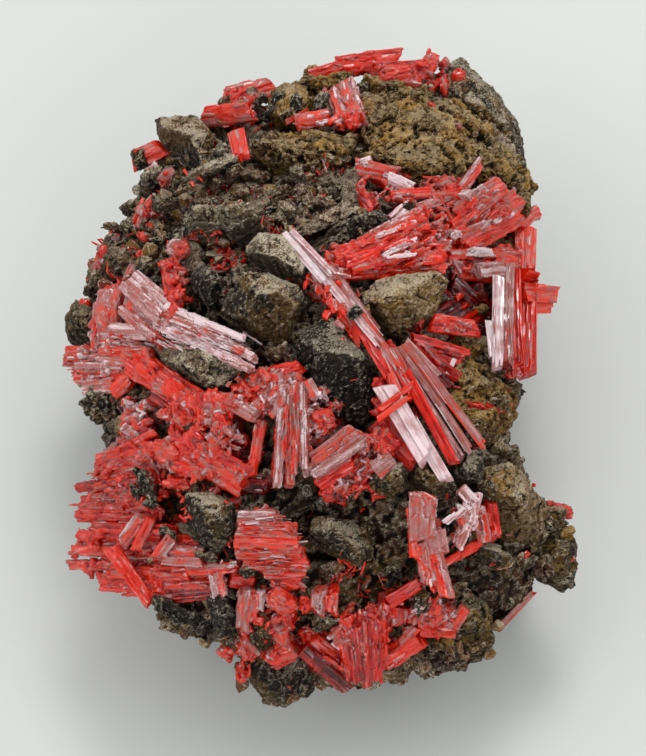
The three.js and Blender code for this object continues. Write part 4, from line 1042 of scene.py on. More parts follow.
# %% Where the fragments lie
# centre (across, up, lift), size along, across and out, heading in degrees
FRAGMENTS = {
    "dark_fragments": ("ironstone", IRONSTONE, [
        ((-17, 41.8, 2.4), (6.2, 2.6, 2.6), -38), ((-17.3, 36.3, 4), (7.5, 1.6, 1.8), 34),
        ((0.7, 46, 2.4), (5, 2.2, 2.2), 70), ((6.7, 37, 3), (3.2, 2.6, 2.4), 0),
        ((-16.4, 31.8, 4), (3.6, 2.3, 2.2), 20), ((8, 26.5, 3), (2.8, 2.2, 2.2), 10),
        ((10.4, 25.4, 3.4), (2.6, 2.4, 2.2), 60), ((11.6, 27.8, 2.8), (2.4, 1.8, 1.8), -20),
        ((2.5, 28.5, 3.8), (1.8, 1.8, 1.8), 0), ((-32.7, 17.2, 2), (2, 2, 2), 0),
        ((-28.6, 18, 1.8), (5.4, 4, 3.6), 30), ((2, -39.7, 3), (5, 3.6, 3), 10),
        ((4.4, -36, 3), (3.4, 2.2, 2.2), 0), ((28, -18.6, 3.4), (3.3, 2, 2.2), 80),
        ((41.2, -34, 0.4), (3.6, 3.2, 3), 0), ((41, -24.3, 1.2), (1.6, 1, 1), 0),
        ((-1.8, -51, 0.4), (5.6, 2.6, 2.8), 90), ((-8.7, -41.8, 1.8), (7, 3.4, 2.8), 80),
        ((16.3, -37.5, 2.4), (6.4, 3.6, 3.2), 80), ((18, -0.6, 2.8), (6.6, 2, 2.2), -53),
        ((23, -7.5, 3.2), (10, 2.2, 2.4), -54), ((25.4, -8.6, 2), (5, 4.4, 3.4), -40),
        ((30, -11.5, 1), (5.4, 4, 3.4), -10), ((26, -13.6, 1.8), (4.4, 3, 2.8), 10),
        ((-10.8, -31.4, 2.6), (4, 2.6, 2.4), 20), ((-34.2, 30, 0), (2.6, 2.2, 2.2), 0),
        ((8.4, -24.6, 2.4), (3.4, 2.6, 2.4), 60), ((22.8, -30.6, 2.4), (3.6, 2.8, 2.6), -30),
        ((33.8, -22.4, 1.4), (4.6, 3.4, 3), 20), ((36.4, -26.6, 0.8), (4, 3.2, 3), -40),
        ((24.4, -25.6, 2), (3.2, 2.6, 2.4), 0), ((-35.6, -5, 0), (6, 5, 4), -50),
        ((-31.4, -9, 0.8), (5, 4, 3.4), -60), ((38.4, -22.8, 0), (7, 4, 4), -10),
        ((-28.4, 36.6, -0.6), (5, 4, 3.4), 20), ((8, 50.6, -0.8), (9, 4, 3.4), 5),
    ]),
    "black_splinters": ("ironstone", BLACKSTONE, [
        ((-27.8, -17.8, 7), (8.4, 1.9, 2.4), -68), ((-25, -23.8, 7), (7.4, 1.8, 2.4), -62),
        ((-29.4, -19, 7), (4.6, 1.5, 2), -54), ((-27, -20.6, 7), (3.2, 2.6, 2.4), 10),
        ((-6.4, 46.4, 5), (6.6, 2.4, 2.4), 60), ((-3.6, 45, 5), (5.6, 2, 2), 72),
        ((-9, 46, 5), (4, 2, 2), 40), ((-8.6, 43.4, 5), (4.6, 1.8, 1.8), 35),
        ((-22.6, -38.2, 5), (9.5, 5, 5), -12), ((-18.6, -40.4, 5), (5, 4.4, 4), 60),
        ((-28.8, -15.4, 7), (3, 1.8, 2), 100), ((-24.2, -25.4, 7), (3.4, 1.6, 2), -40),
        ((12.2, -28, 6), (3.4, 2.6, 2.6), 80), ((12.4, -32.4, 6), (4, 2.6, 2.6), 95),
        ((0.8, 46, 6), (5, 2.4, 2.4), 70), ((9.6, 26, 6), (3.4, 3, 2.4), 20),
        ((-8, 27, 6), (5, 1.4, 1.4), 20), ((-20.6, 24.6, 6), (4.4, 1.6, 1.6), 50),
        ((6.4, 10.4, 6), (3.6, 2, 2), 50), ((-12, -20.4, 4), (5, 2.4, 2.4), 10),
    ]),
    "brown_fragments": ("gossan", GOSSAN, [
        ((-29, 27.3, 1.6), (7, 5, 3), -35), ((-33.6, 20.6, 1), (6, 5, 3), 40),
        ((-37.4, 14.4, 0), (5, 2.4, 2.2), -5), ((-33.6, 24.6, 0.6), (5.4, 1.8, 2), -12),
        ((-12.7, 29.7, 4.2), (3.6, 2.6, 2.4), 30), ((1, 33, 3.4), (4, 2.6, 2.2), 70),
        ((3.6, 30.6, 3.4), (3.6, 2.2, 2.2), 20), ((-2, 30, 3.6), (4, 3, 2.4), -30),
        ((5, 27.4, 3.4), (4.4, 2.6, 2.4), 15), ((4.5, 22.2, 3.2), (5.4, 3, 2.6), 25),
        ((-22, 31.6, 3), (4.6, 2.4, 2.2), 55), ((-19.4, 28.6, 3.4), (4.2, 2, 2), -20),
        ((-14, 33.4, 4), (4, 2.2, 2.2), 40), ((-9.6, 33, 3.8), (4.6, 3, 2.4), -10),
        ((-6, 30.2, 3.8), (4.4, 3, 2.4), 60), ((-17, -29.2, 2.6), (7, 1.8, 2), -8),
        ((23.6, -35.7, 2.2), (4, 3.4, 2.8), 0), ((37.4, -31.6, 0.8), (4.6, 3.2, 2.6), 90),
        ((-24.6, 28.6, 2.4), (4.4, 3, 2.6), 10), ((-27, 22.6, 2), (4.6, 3, 2.6), -50),
        ((-36.4, 17.6, 0.2), (4, 3, 2.6), 60), ((29.6, -5, 1.4), (5, 4, 3.2), 20),
        ((-9, 46.5, 2), (3, 2.4, 2.2), 40), ((-4, 44, 2.4), (4, 3, 2.6), 10),
        ((8, 48.5, 1.4), (3.4, 2.6, 2.2), -20), ((2.5, 49.5, 0.8), (3.4, 2.4, 2.2), 30),
        ((13.6, -16, 2.2), (4.6, 3, 2.6), -40), ((-19.6, -8.6, 1.6), (5, 3, 3), -30),
        ((5.6, -19, 1.6), (4, 3, 2.6), 60), ((1.4, 50, -0.6), (6, 4, 3.4), 20),
        ((-12, 46.6, -0.2), (9, 4, 3.4), 18), ((17, 50, -0.6), (8, 4, 3.4), 0),
    ]),
    "ochre_fragments": ("limonite", LIMONITE, [
        ((24, 5.2, 2.2), (7.6, 4.4, 3.2), -15), ((27.3, 11, -0.6), (2.6, 2, 2), 0),
        ((21, -43.6, 1.2), (4.4, 3.2, 2.6), 10), ((41, -26.1, 1.2), (3.2, 2.6, 2.6), 0),
        ((34, 28, 0.8), (6, 4, 4), 80), ((-6.6, 47.6, 1.4), (3, 2.2, 2), -20),
        ((26.4, -1.6, 1.8), (4.6, 3.6, 3), 10), ((31, 3.2, 0.6), (4, 3.4, 3), 70),
        ((32.6, -38.6, 0), (5, 4, 3.4), -50), ((-39.6, 9.4, -0.4), (4.6, 3.2, 3), 70),
    ]),
    "edge_fragments": ("limonite", LIMONITE, [
        ((-1.6, 48.4, -1.6), (8, 4.6, 5), 15), ((4.4, 48.2, -1.4), (8, 6, 5), -5),
        ((10.6, 48, -1.6), (9, 6, 5), 5), ((17, 47.4, -1.8), (8, 6, 5), -12),
        ((-0.4, 51, -2), (6, 3, 4), 20),
    ]),
    "grey_fragments": ("ironstone", GREYSTONE, [
        ((-12.4, 26.4, 5), (9.4, 4.2, 2.6), 8), ((-18.6, 26, 5), (6, 4.4, 2.6), -30),
        ((-17.4, 34, 5), (8.6, 2.6, 2.2), 24), ((-22.6, 31.6, 5), (5, 2.4, 2), 60),
        ((-26.4, 28.4, 5), (5.4, 3, 2), -60), ((-30.6, 25.6, 5), (6, 3.4, 2.2), 50),
        ((-34.4, 21.6, 5), (5, 3, 2), 62), ((-27.6, 33.4, 5), (4.4, 2.4, 2), 40),
        ((-23.4, 20.6, 5), (4, 2.6, 2), -20), ((-36.6, 16.4, 5), (4.6, 2.4, 2), 80),
        ((4.4, 24.6, 5), (5, 2.6, 2), 30), ((-2.6, 33.6, 5), (4.4, 2.6, 2), -50),
        ((21.4, -31.4, 5), (4, 2.4, 2), 30), ((31.6, -27.6, 5), (5, 3, 2.4), -40),
        ((35, -30.6, 5), (4, 2.4, 2), 20),
    ]),
}


def box_corners(draw, place, size, heading):
    """Random points on a rounded box, which lies with its first side along the heading."""
    along = headed(heading)
    lean = nudge(draw, 0.22)
    out = (OUTWARD + lean).normalized()
    sideways = out.cross(along).normalized()
    along = sideways.cross(out)
    points = []
    for _ in range(22):
        spot = box_spot(draw, 4, 0.46, 0.56)
        points.append((place + along * (spot.x * size[0]) + sideways * (spot.y * size[1])
                       + out * (spot.z * size[2])) * MM)
    return points


def fragment_piece(name, slot, material, blocks, seed):
    draw = random.Random(seed)
    hulls = []
    for centre, size, heading in blocks:
        if name == "edge_fragments":
            place = on_face(*centre)
        else:
            place = settled(*centre, above=0.5 * size[2])
        if place is not None:
            hulls.append(chipped(box_corners(draw, place, size, heading), 8, 0.3, draw))
    piece = link_object(name, joined_hulls(name, hulls))
    run_rule(piece, BROKEN_STONE, voxel=0.00026, Material=material, Block_Size=0.003,
             Block_Depth=0.0003, Chip_Size=0.0016, Chip_Depth=0.0003, Flake_Size=0.0008,
             Flake_Depth=0.00015, Grain_Depth=0.00008, Seed=seed)
    return finished(piece, slot)


for k, (name, (slot_name, stone, blocks)) in enumerate(FRAGMENTS.items()):
    piece = fragment_piece(name, slot_name, stone, blocks, 31 + k)
    print(name, "triangles:", triangles(piece))


# %% [markdown]
# ### Scattered stones
# Random places on the groundmass each get one of the stone shapes, turned any way. Small
# stones are far more common than big ones.

# %% Scatter rule
SMALL_SHARE = 2.2         # powers that make small stones and dark stones the common ones
DARK_SHARE, PALEST_TONE = 1.3, 0.75
FULL_TURN = 6.28
STONE_REACH = 0.8         # how far a stone reaches from its middle, as a share of its size


def scatter_tree():
    tree, start, end = group_tree("Scattered crumbs", "GeometryNodeTree", {
        "Geometry": "Geometry", "Stones": "Collection", "Stones per Area": 1e5,
        "Smallest": 0.0008, "Largest": 0.003, "Seed": 1, "Material": "Material"},
        {"Geometry": "Geometry"})
    spots = add(tree, "GeometryNodeDistributePointsOnFaces", None, {
        "Mesh": start.outputs["Geometry"], "Density": start.outputs["Stones per Area"],
        "Seed": start.outputs["Seed"]})
    stones = add(tree, "GeometryNodeCollectionInfo", None, {
        "Collection": start.outputs["Stones"], "Separate Children": True, "Reset Children": True})
    turn = add(tree, "FunctionNodeRandomValue", {"data_type": "FLOAT_VECTOR"},
               {"Min": (0, 0, 0), "Max": (FULL_TURN, FULL_TURN, FULL_TURN),
                "Seed": start.outputs["Seed"]})
    share = add(tree, "FunctionNodeRandomValue", {"data_type": "FLOAT"},
                {"Seed": maths(tree, "ADD", start.outputs["Seed"], 1)}).outputs[1]
    size = add(tree, "ShaderNodeMapRange", None, {
        "Value": maths(tree, "POWER", share, SMALL_SHARE), "To Min": start.outputs["Smallest"],
        "To Max": start.outputs["Largest"]}).outputs[0]
    place = tree.nodes.new("GeometryNodeInputPosition").outputs[0]
    height = split_up(tree, place)[2]
    sunk = add(tree, "FunctionNodeCompare", {"data_type": "FLOAT", "operation": "LESS_THAN"},
               {0: height, 1: maths(tree, "MULTIPLY", size, STONE_REACH)}).outputs[0]
    clear = add(tree, "GeometryNodeDeleteGeometry", {"domain": "POINT"},
                {"Geometry": spots.outputs["Points"], "Selection": sunk}).outputs[0]
    placed = add(tree, "GeometryNodeInstanceOnPoints", None, {
        "Points": clear, "Instance": stones.outputs[0], "Pick Instance": True,
        "Rotation": turn.outputs[0], "Scale": size})
    tone = add(tree, "FunctionNodeRandomValue", {"data_type": "FLOAT"},
               {"Seed": maths(tree, "ADD", start.outputs["Seed"], 2)}).outputs[1]
    tone = maths(tree, "MULTIPLY", maths(tree, "POWER", tone, DARK_SHARE), PALEST_TONE)
    toned = add(tree, "GeometryNodeStoreNamedAttribute",
                {"data_type": "FLOAT", "domain": "INSTANCE"},
                {"Geometry": placed.outputs[0], "Name": "tone", "Value": tone})
    return end_in_mesh(tree, toned.outputs[0], start.outputs["Material"], end)


SCATTER = scatter_tree()


def stone_collection(name, shapes):
    shelf = bpy.data.collections.new(name)
    for k, (points, faces, flags) in enumerate(shapes):
        mesh = bpy.data.meshes.new(f"{name} {k}")
        mesh.from_pydata(points, [], faces)
        face_numbers(mesh, "proud", flags)
        shelf.objects.link(bpy.data.objects.new(f"{name} {k}", mesh))
    return shelf


def scattered(name, ground, shapes, **values):
    shelf = stone_collection(name + " shapes", shapes)
    carrier = link_object(name, ground.data.copy())
    run_rule(carrier, SCATTER, Stones=shelf, Material=RUBBLE, **values)
    for obj in list(shelf.objects):
        bpy.data.objects.remove(obj)
    bpy.data.collections.remove(shelf)
    return finished(carrier, "gossan")


chips = scattered("scattered_chips", GROUND, BIG_STONES, Stones_per_Area=2.6e4,
                  Smallest=0.0014, Largest=0.0065, Seed=3)
crumbs = scattered("scattered_crumbs", GROUND, CRUMBS, Stones_per_Area=1.2e5,
                   Smallest=0.0005, Largest=0.0016, Seed=8)
for piece in (chips, crumbs):
    print(piece.name, "triangles:", triangles(piece))

# %% [markdown]
# ## Crocoite finish
# Crocoite is lead chromate: translucent, very dense optically, so its flat faces mirror the
# room strongly while light sinks in and comes back red. Every strip of crystal carries a tint
# from 0, deep red, to 1, frosted pink-white; the palest tints are partly painted glare on the
# laths. The finish also paints a sheen and small glints on faces turned to the lamp, and shade
# in hollows. Fine lines run along each crystal, read from the grain attribute that the maker
# below writes on each strip.


# %% Crystal shader group
def growth_line_group():
    tree, start, end = group_tree("Growth lines", "ShaderNodeTree", {
        "Grain": "Vector", "Fineness": 6.0}, {"Lines": "Float", "Veils": "Float"})
    stretched = vectors(tree, "MULTIPLY", start.outputs["Grain"], (1.0, 1.0, 0.045))
    lines = cloudy(tree, stretched, start.outputs["Fineness"], 4.0, 0.7)
    calm = vectors(tree, "MULTIPLY", start.outputs["Grain"], (1.0, 1.0, 0.5))
    veils = cloudy(tree, calm, 0.9, 5.0, 0.7)
    tree.links.new(lines, end.inputs["Lines"])
    tree.links.new(veils, end.inputs["Veils"])
    return tree


GROWTH_LINES = growth_line_group()

# Tints from deep red to pink-white; the palest stops are partly the crystals' frost and partly
# painted glare.
TINT_STOPS = [
    (0.0, (0.05, 0.001, 0.001)), (0.2, (0.27, 0.003, 0.001)), (0.4, (0.68, 0.010, 0.003)),
    (0.55, (0.87, 0.031, 0.007)), (0.63, (0.72, 0.066, 0.038)), (0.71, (0.38, 0.118, 0.10)),
    (0.83, (0.50, 0.235, 0.23)), (1.0, (0.84, 0.64, 0.66)),
]


# How much and in what near-black red the hollows of crystals are painted with shade.
HOLLOW_SHADE_SHARE, HOLLOW_SHADE_RED = 0.5, (0.04, 0.001, 0.001, 1)
CRYSTAL_FACETS = ((1.1, 0.4), (3.2, 0.35))
CRYSTAL_SHADER = {
    "Coat IOR": 2.0, "Coat Roughness": 0.08, "Specular IOR Level": 0.12, "IOR": 1.65,
    "Subsurface Radius": (1.0, 0.16, 0.1), "Subsurface Scale": 0.0012,
}


def crystal_finish(name, shift, rough, seen_through, glow, frost_and_sheen, wander):
    """shift moves every tint, frost_and_sheen whitens what faces up towards the lamp, as frosted
    veils and as painted sheen and glints, and wander is how far tints drift.
    """
    material, tree, shader = shader_material(name)
    tint = add(tree, "ShaderNodeAttribute", {"attribute_name": "tint"}).outputs["Fac"]
    grain = add(tree, "ShaderNodeAttribute", {"attribute_name": "grain"}).outputs["Vector"]
    facing = tree.nodes.new("ShaderNodeNewGeometry").outputs["Normal"]
    lines = add(tree, "ShaderNodeGroup", {"node_tree": GROWTH_LINES}, {"Grain": grain})
    # How far a face turns up towards the lamp; it places the painted sheen and painted glints.
    slope = remapped(tree, vectors(tree, "DOT_PRODUCT", facing, TOWARDS_LAMP), 0.55, 1.0)
    # Frosted veils, which on faces turned to the lamp are also a painted sheen.
    veil_and_sheen = maths(tree, "MULTIPLY", slope, remapped(tree, lines.outputs["Veils"], 0.42, 0.66))
    proud = add(tree, "ShaderNodeAttribute", {"attribute_name": "proud"}).outputs["Fac"]
    place = vectors(tree, "SCALE", tree.nodes.new("ShaderNodeTexCoord").outputs["Object"], 1000.0)
    drift = cloudy(tree, place, 0.4, 4.0)
    stretched = vectors(tree, "MULTIPLY", grain, (1.0, 1.0, 0.16))
    cleaved = facing
    for size, tilt in CRYSTAL_FACETS:
        facets = add(tree, "ShaderNodeGroup", {"node_tree": FACETS}, {
            "Vector": stretched, "Normal": cleaved, "Scale": size, "Tilt": tilt})
        cleaved = facets.outputs["Normal"]
    glint = remapped(tree, facets.outputs["Pick"], 0.8, 0.88)
    # Facets that face the lamp are paled into small painted glints.
    fleck = maths(tree, "MULTIPLY", remapped(tree, facets.outputs["Pick"], 0.88, 0.92), slope)
    # Through proud, the tint is raised on ridges and lowered in hollows: a painted highlight and
    # painted shade.
    tone = tint
    for effect, middle, amount in ((fleck, 0.0, 0.28 * frost_and_sheen),
                                   (lines.outputs["Lines"], 0.5, 0.18 + 0.2 * frost_and_sheen),
                                   (drift, 0.5, wander), (proud, 0.0, 0.05),
                                   (veil_and_sheen, 0.0, 0.12 * frost_and_sheen)):
        tone = maths(tree, "ADD", tone, maths(tree, "MULTIPLY", maths(
            tree, "SUBTRACT", effect, middle), amount))
    tone = maths(tree, "ADD", tone, shift, clamp=True)
    ramp = colour_ramp(tree, tone, TINT_STOPS)
    # Hollows are painted with shade.
    hollow_shade = remapped(tree, maths(tree, "MULTIPLY", proud, -1.0), 0.2, 2.0)
    body = mixed(tree, maths(tree, "MULTIPLY", hollow_shade, HOLLOW_SHADE_SHARE), ramp, HOLLOW_SHADE_RED)
    tree.links.new(body, shader.inputs["Base Color"])
    tree.links.new(maths(tree, "ADD", rough, maths(tree, "MULTIPLY", veil_and_sheen, 0.22)),
                   shader.inputs["Roughness"])
    tree.links.new(maths(tree, "MULTIPLY", glint, 0.7), shader.inputs["Coat Weight"])
    relief = add(tree, "ShaderNodeBump", None, {
        "Strength": 0.5, "Distance": 0.0001, "Height": lines.outputs["Lines"],
        "Normal": cleaved})
    tree.links.new(relief.outputs[0], shader.inputs["Normal"])
    for label, value in (*CRYSTAL_SHADER.items(), ("Transmission Weight", seen_through),
                         ("Subsurface Weight", glow)):
        shader.inputs[label].default_value = value
    return material


CRYSTAL_FINISH = {
    "crocoite_red": crystal_finish(
        "crocoite red", shift=-0.03, rough=0.1, seen_through=0.35,
        glow=0.2, frost_and_sheen=0.35, wander=0.55),
    "crocoite_orange": crystal_finish(
        "crocoite orange", shift=0.0, rough=0.12, seen_through=0.3,
        glow=0.25, frost_and_sheen=0.5, wander=0.5),
    "crocoite_pink": crystal_finish(
        "crocoite pink", shift=-0.03, rough=0.14, seen_through=0.2,
        glow=0.25, frost_and_sheen=0.9, wander=0.4),
}
print("crystal finishes:", list(CRYSTAL_FINISH))

# %% [markdown]
# ## Crystals
# A crocoite crystal is a long four-sided prism, and what looks like one crystal is mostly a
# bundle of parallel strips with lines between them and ends broken at different lengths. So
# each prism of the CAD is filled with closed six-cornered strips. Every strip turns a little
# about its own length, so that each catches the light at its own angle, as real bundles do.

# %% Crystal maker
class Growth:
    """Collects closed crystals, then makes one mesh of them."""

    def __init__(self, seed):
        self.draw = random.Random(seed)
        self.points, self.faces, self.tints, self.grains = [], [], [], []

    def loft(self, rings, ring_tints, cap_tint, centres):
        """Closed skin over equal rings of (point, grain); a tint for each side of a ring."""
        count = len(rings[0])
        first = len(self.points)
        for ring in rings:
            for point, grain in ring:
                self.points.append(point)
                self.grains.append(grain)
        for step in range(len(rings) - 1):
            low = first + step * count
            for k in range(count):
                after = (k + 1) % count
                self.faces.append((low + k, low + after, low + count + after, low + count + k))
                self.tints.append(ring_tints[k])
        for ring, centre in ((0, centres[0]), (len(rings) - 1, centres[1])):
            middle = len(self.points)
            self.points.append(centre)
            self.grains.append(rings[ring][0][1])
            low = first + ring * count
            for k in range(count):
                self.faces.append((low + k, low + (k + 1) % count, middle))
                self.tints.append(cap_tint)

    def prism(self, foot, tip, wide, thick, tint, fine=0.5, ragged=0.12, spread=0.1, taper=0.92,
              turn=0.0, outward=OUTWARD):
        """One crystal whose outer side is cut into long strips, each at its own height and
        slope, and whose ends are broken strip by strip."""
        draw = self.draw
        along = tip - foot
        length = along.length
        along.normalize()
        sideways, through = side_axes(along, outward, turn)
        strips = max(1, round(wide / fine))
        edges = [-0.5] + sorted((k + draw.uniform(-0.3, 0.3)) / strips - 0.5
                                for k in range(1, strips)) + [0.5]
        relief = min(0.3, 0.34 * fine / thick)
        profile, tints, ends = [], [], []
        lean = (draw.uniform(-0.6, 0.6) * wide, draw.uniform(-0.5, 0.5) * thick)
        for k in range(strips):
            level = 0.5 - draw.random() * relief - 0.12 * abs(edges[k] + edges[k + 1])
            slope = draw.gauss(0, 0.35) * relief
            stop = 1 - (draw.random() ** 2) * ragged * 1.6
            for s, t in ((edges[k], level - slope), (edges[k + 1], level + slope)):
                profile.append((s * wide, t * thick))
                ends.append(stop)
            tints += [tint + draw.gauss(0, spread), tint - spread * 0.5]
        last_stop = 1 - draw.random() * ragged * 0.5
        for s, t in ((0.53, 0.05), (0.46, -0.5), (0.0, -0.56), (-0.46, -0.5), (-0.53, 0.05)):
            profile.append((s * wide, t * thick))
            ends.append(last_stop)
            tints.append(tint + draw.gauss(0, spread * 0.6))
        offset = draw.uniform(0, 300)
        steps = max(2, min(5, round(length / 4.0)))
        rings = []
        drift_s, drift_t = 0.0, 0.0
        for step in range(steps + 1):
            share = step / steps
            size = 1 - (1 - taper) * share
            ring = []
            for (s, t), stop in zip(profile, ends):
                slide = share * stop if share > 0.5 else share
                slide *= length
                if step in (0, steps):
                    slide += (s * lean[0] / wide + t * lean[1] / thick) * (1 if step else -0.7)
                point = (foot + along * slide + sideways * (s * size + drift_s)
                         + through * (t * size + drift_t))
                ring.append((point, (s + offset, t, slide)))
            rings.append(ring)
            drift_s += draw.gauss(0, 0.012) * wide
            drift_t += draw.gauss(0, 0.012) * thick
        centres = []
        for ring in (rings[0], rings[-1]):
            middle = sum((point for point, _ in ring), Vector()) / len(ring)
            centres.append(middle + along * draw.uniform(-0.2, 0.2) * fine)
        self.loft(rings, tints, tint - 0.06, centres)

    def splinter(self, foot, tip, wide, thick, tint, outward=OUTWARD, turn=0.0):
        """A thin crystal with five sides and a slanted tip."""
        draw = self.draw
        along = (tip - foot).normalized()
        sideways, through = side_axes(along, outward, turn)
        corners = [(-0.5, -0.4), (0.5, -0.5), (0.5, 0.3), (0.1, 0.5), (-0.5, 0.36)]
        corners = [(s + draw.uniform(-0.1, 0.1), t + draw.uniform(-0.1, 0.1)) for s, t in corners]
        lean = draw.uniform(-0.9, 0.9)
        offset = draw.uniform(0, 300)
        rings = []
        for place, size, way in ((foot, 1.0, -1), (tip, draw.uniform(0.6, 0.95), 1)):
            rings.append([(place + along * (s * lean * wide * way) + sideways * (s * wide * size)
                           + through * (t * thick * size),
                           (s * wide + offset, t * thick, (place - foot).length))
                          for s, t in corners])
        tints = [tint + draw.gauss(0, 0.05) for _ in corners]
        self.loft(rings, tints, tint, [foot, tip])

    def bundle(self, foot, tip, wide, thick, tint=0.4, fine=0.45, block=1.7, splay=0.05,
               ragged=0.07, turn=5.0, spread=0.13, loose=0.45, outward=OUTWARD):
        """Crystals side by side that fill one prism of the CAD, with loose splinters on it."""
        draw = self.draw
        along = (tip - foot).normalized()
        length = (tip - foot).length
        sideways, through = side_axes(along, outward)
        count = max(1, round(wide / block))
        for k in range(count):
            s = (k + 0.5) / count - 0.5
            at = sideways * (s * wide) + through * (draw.uniform(-0.16, 0.06) * thick)
            start = foot + at + along * (draw.uniform(0, ragged) * length * 0.5)
            fan = sideways * (s * splay * 2 + draw.gauss(0, 0.012)) + through * draw.gauss(0, 0.015)
            reach = length * (1 - draw.random() * ragged)
            end = start + (along + fan).normalized() * reach
            shade = tint + draw.gauss(0, spread if count > 1 else spread * 0.2)
            self.prism(start, end, wide / count * draw.uniform(1.05, 1.3),
                       thick * draw.uniform(0.85, 1.1), shade, fine, ragged, spread * 0.6,
                       turn=math.radians(draw.gauss(0, turn)), outward=outward)
        for _ in range(int(loose * wide * length / 6)):
            s, t = draw.uniform(-0.55, 0.55), draw.uniform(0.2, 0.52)
            start = foot + sideways * (s * wide) + through * (t * thick)
            start += along * (draw.uniform(0, 0.75) * length)
            fan = sideways * draw.gauss(s * splay * 2, 0.05) + through * draw.gauss(0.01, 0.03)
            end = start + (along + fan).normalized() * (length * draw.uniform(0.12, 0.42))
            size = fine * draw.uniform(0.4, 1.3)
            self.splinter(start, end, size, size * draw.uniform(0.4, 0.9),
                          tint + draw.gauss(0.02, spread * 1.4), outward, draw.uniform(-0.7, 0.7))

    def jumble(self, centre, reach, count, long, wide, heading=0.0, wander=180.0, rise=35.0,
               tint=0.4, spread=0.12, lift=1.0, fine=0.4):
        """Short crystals thrown over an oval of the face; heading is their angle on it."""
        draw = self.draw
        for _ in range(count):
            across, up = oval_spot(draw, centre, reach)
            foot = settled(across, up, centre[2] + draw.uniform(-lift, lift * 0.6))
            if foot is None:
                continue
            flat = headed(heading + draw.uniform(-wander, wander))
            climb = math.radians(draw.uniform(-rise * 0.3, rise))
            along = flat * math.cos(climb) + OUTWARD * math.sin(climb)
            length = draw.uniform(*long)
            width = draw.uniform(*wide)
            outward = (OUTWARD + nudge(draw, 0.45)).normalized()
            foot = foot - along * length * 0.35
            end = foot + along * length
            colour = tint + draw.gauss(0, spread)
            if width > 1.1:
                self.prism(foot, end, width, width * draw.uniform(0.45, 0.9), colour, fine, 0.12,
                           spread * 0.6, draw.uniform(0.75, 1), 0.0, outward)
            else:
                self.splinter(foot, end, width, width * draw.uniform(0.4, 0.9), colour, outward)

    def block(self, place, axes, size, tint, corners=12):
        """A blunt crystal: the hull of random points on a box with rounded corners."""
        draw = self.draw
        shape = bmesh.new()
        for _ in range(corners):
            spot = box_spot(draw, 5, 0.46, 0.54)
            shape.verts.new((spot.x * size[0], spot.y * size[1], spot.z * size[2]))
        make_hull(shape)
        shape.verts.index_update()
        first = len(self.points)
        offset = draw.uniform(0, 300)
        for v in shape.verts:
            self.points.append(place + axes @ v.co)
            self.grains.append((v.co.y + offset, v.co.z, v.co.x))
        for f in shape.faces:
            self.faces.append(tuple(first + v.index for v in f.verts))
            self.tints.append(tint)
        shape.free()

    def lump(self, place, size, heading, tint, parts=16, spread=0.13):
        """A mass of blunt crystals grown together, all lying roughly along the heading."""
        draw = self.draw
        along = headed(heading)
        axes = Matrix((along, OUTWARD.cross(along), OUTWARD)).transposed()
        self.block(place, axes, [side * 0.8 for side in size], tint, 20)
        for _ in range(parts):
            spot = any_way(draw) * 0.36
            spot = Vector([c * side for c, side in zip(spot, size)])
            part = [side * draw.uniform(0.2, 0.5) for side in size]
            wild = nudge(draw, 0.35)
            turned = Matrix.Rotation(wild.length, 3, wild) @ axes
            self.block(place + axes @ spot, turned, part, tint + draw.gauss(0, spread))

    def bed(self, centre, reach, count, size, tint=0.42, spread=0.08, sunk=0.7):
        """Lumps that fill the hollows of an oval of the face, sunk below the big crystals."""
        draw = self.draw
        for _ in range(count):
            across, up = oval_spot(draw, centre, reach)
            place = settled(across, up, centre[2] + draw.uniform(-0.8, 0.8), -sunk)
            if place is not None:
                sides = [draw.uniform(*size), draw.uniform(*size) * 0.7, draw.uniform(*size) * 0.6]
                self.lump(place, sides, draw.uniform(0, 180), tint + draw.gauss(0, spread), 7)

    def mesh(self, name, material):
        made = bpy.data.meshes.new(name)
        made.from_pydata([p * MM for p in self.points], [], self.faces)
        face_numbers(made, "tint", np.clip(self.tints, 0.0, 1.0))
        grain = made.attributes.new("grain", "FLOAT_VECTOR", "POINT")
        grain.data.foreach_set("vector", np.array(self.grains, np.float32).ravel())
        tidy = bmesh.new()
        tidy.from_mesh(made)
        bmesh.ops.recalc_face_normals(tidy, faces=tidy.faces)
        tidy.to_mesh(made)
        tidy.free()
        made.materials.append(material)
        return made


print("crystal maker ready")

# %% [markdown]
# ### Grown together
# Crystals of one cluster have grown into each other. So the strips of a cluster are remeshed
# into one solid, and a Geometry Nodes rule brings the tint and the grain back from the strips
# and carves grooves and steps along the grain. The thinnest splinters stay as they are.

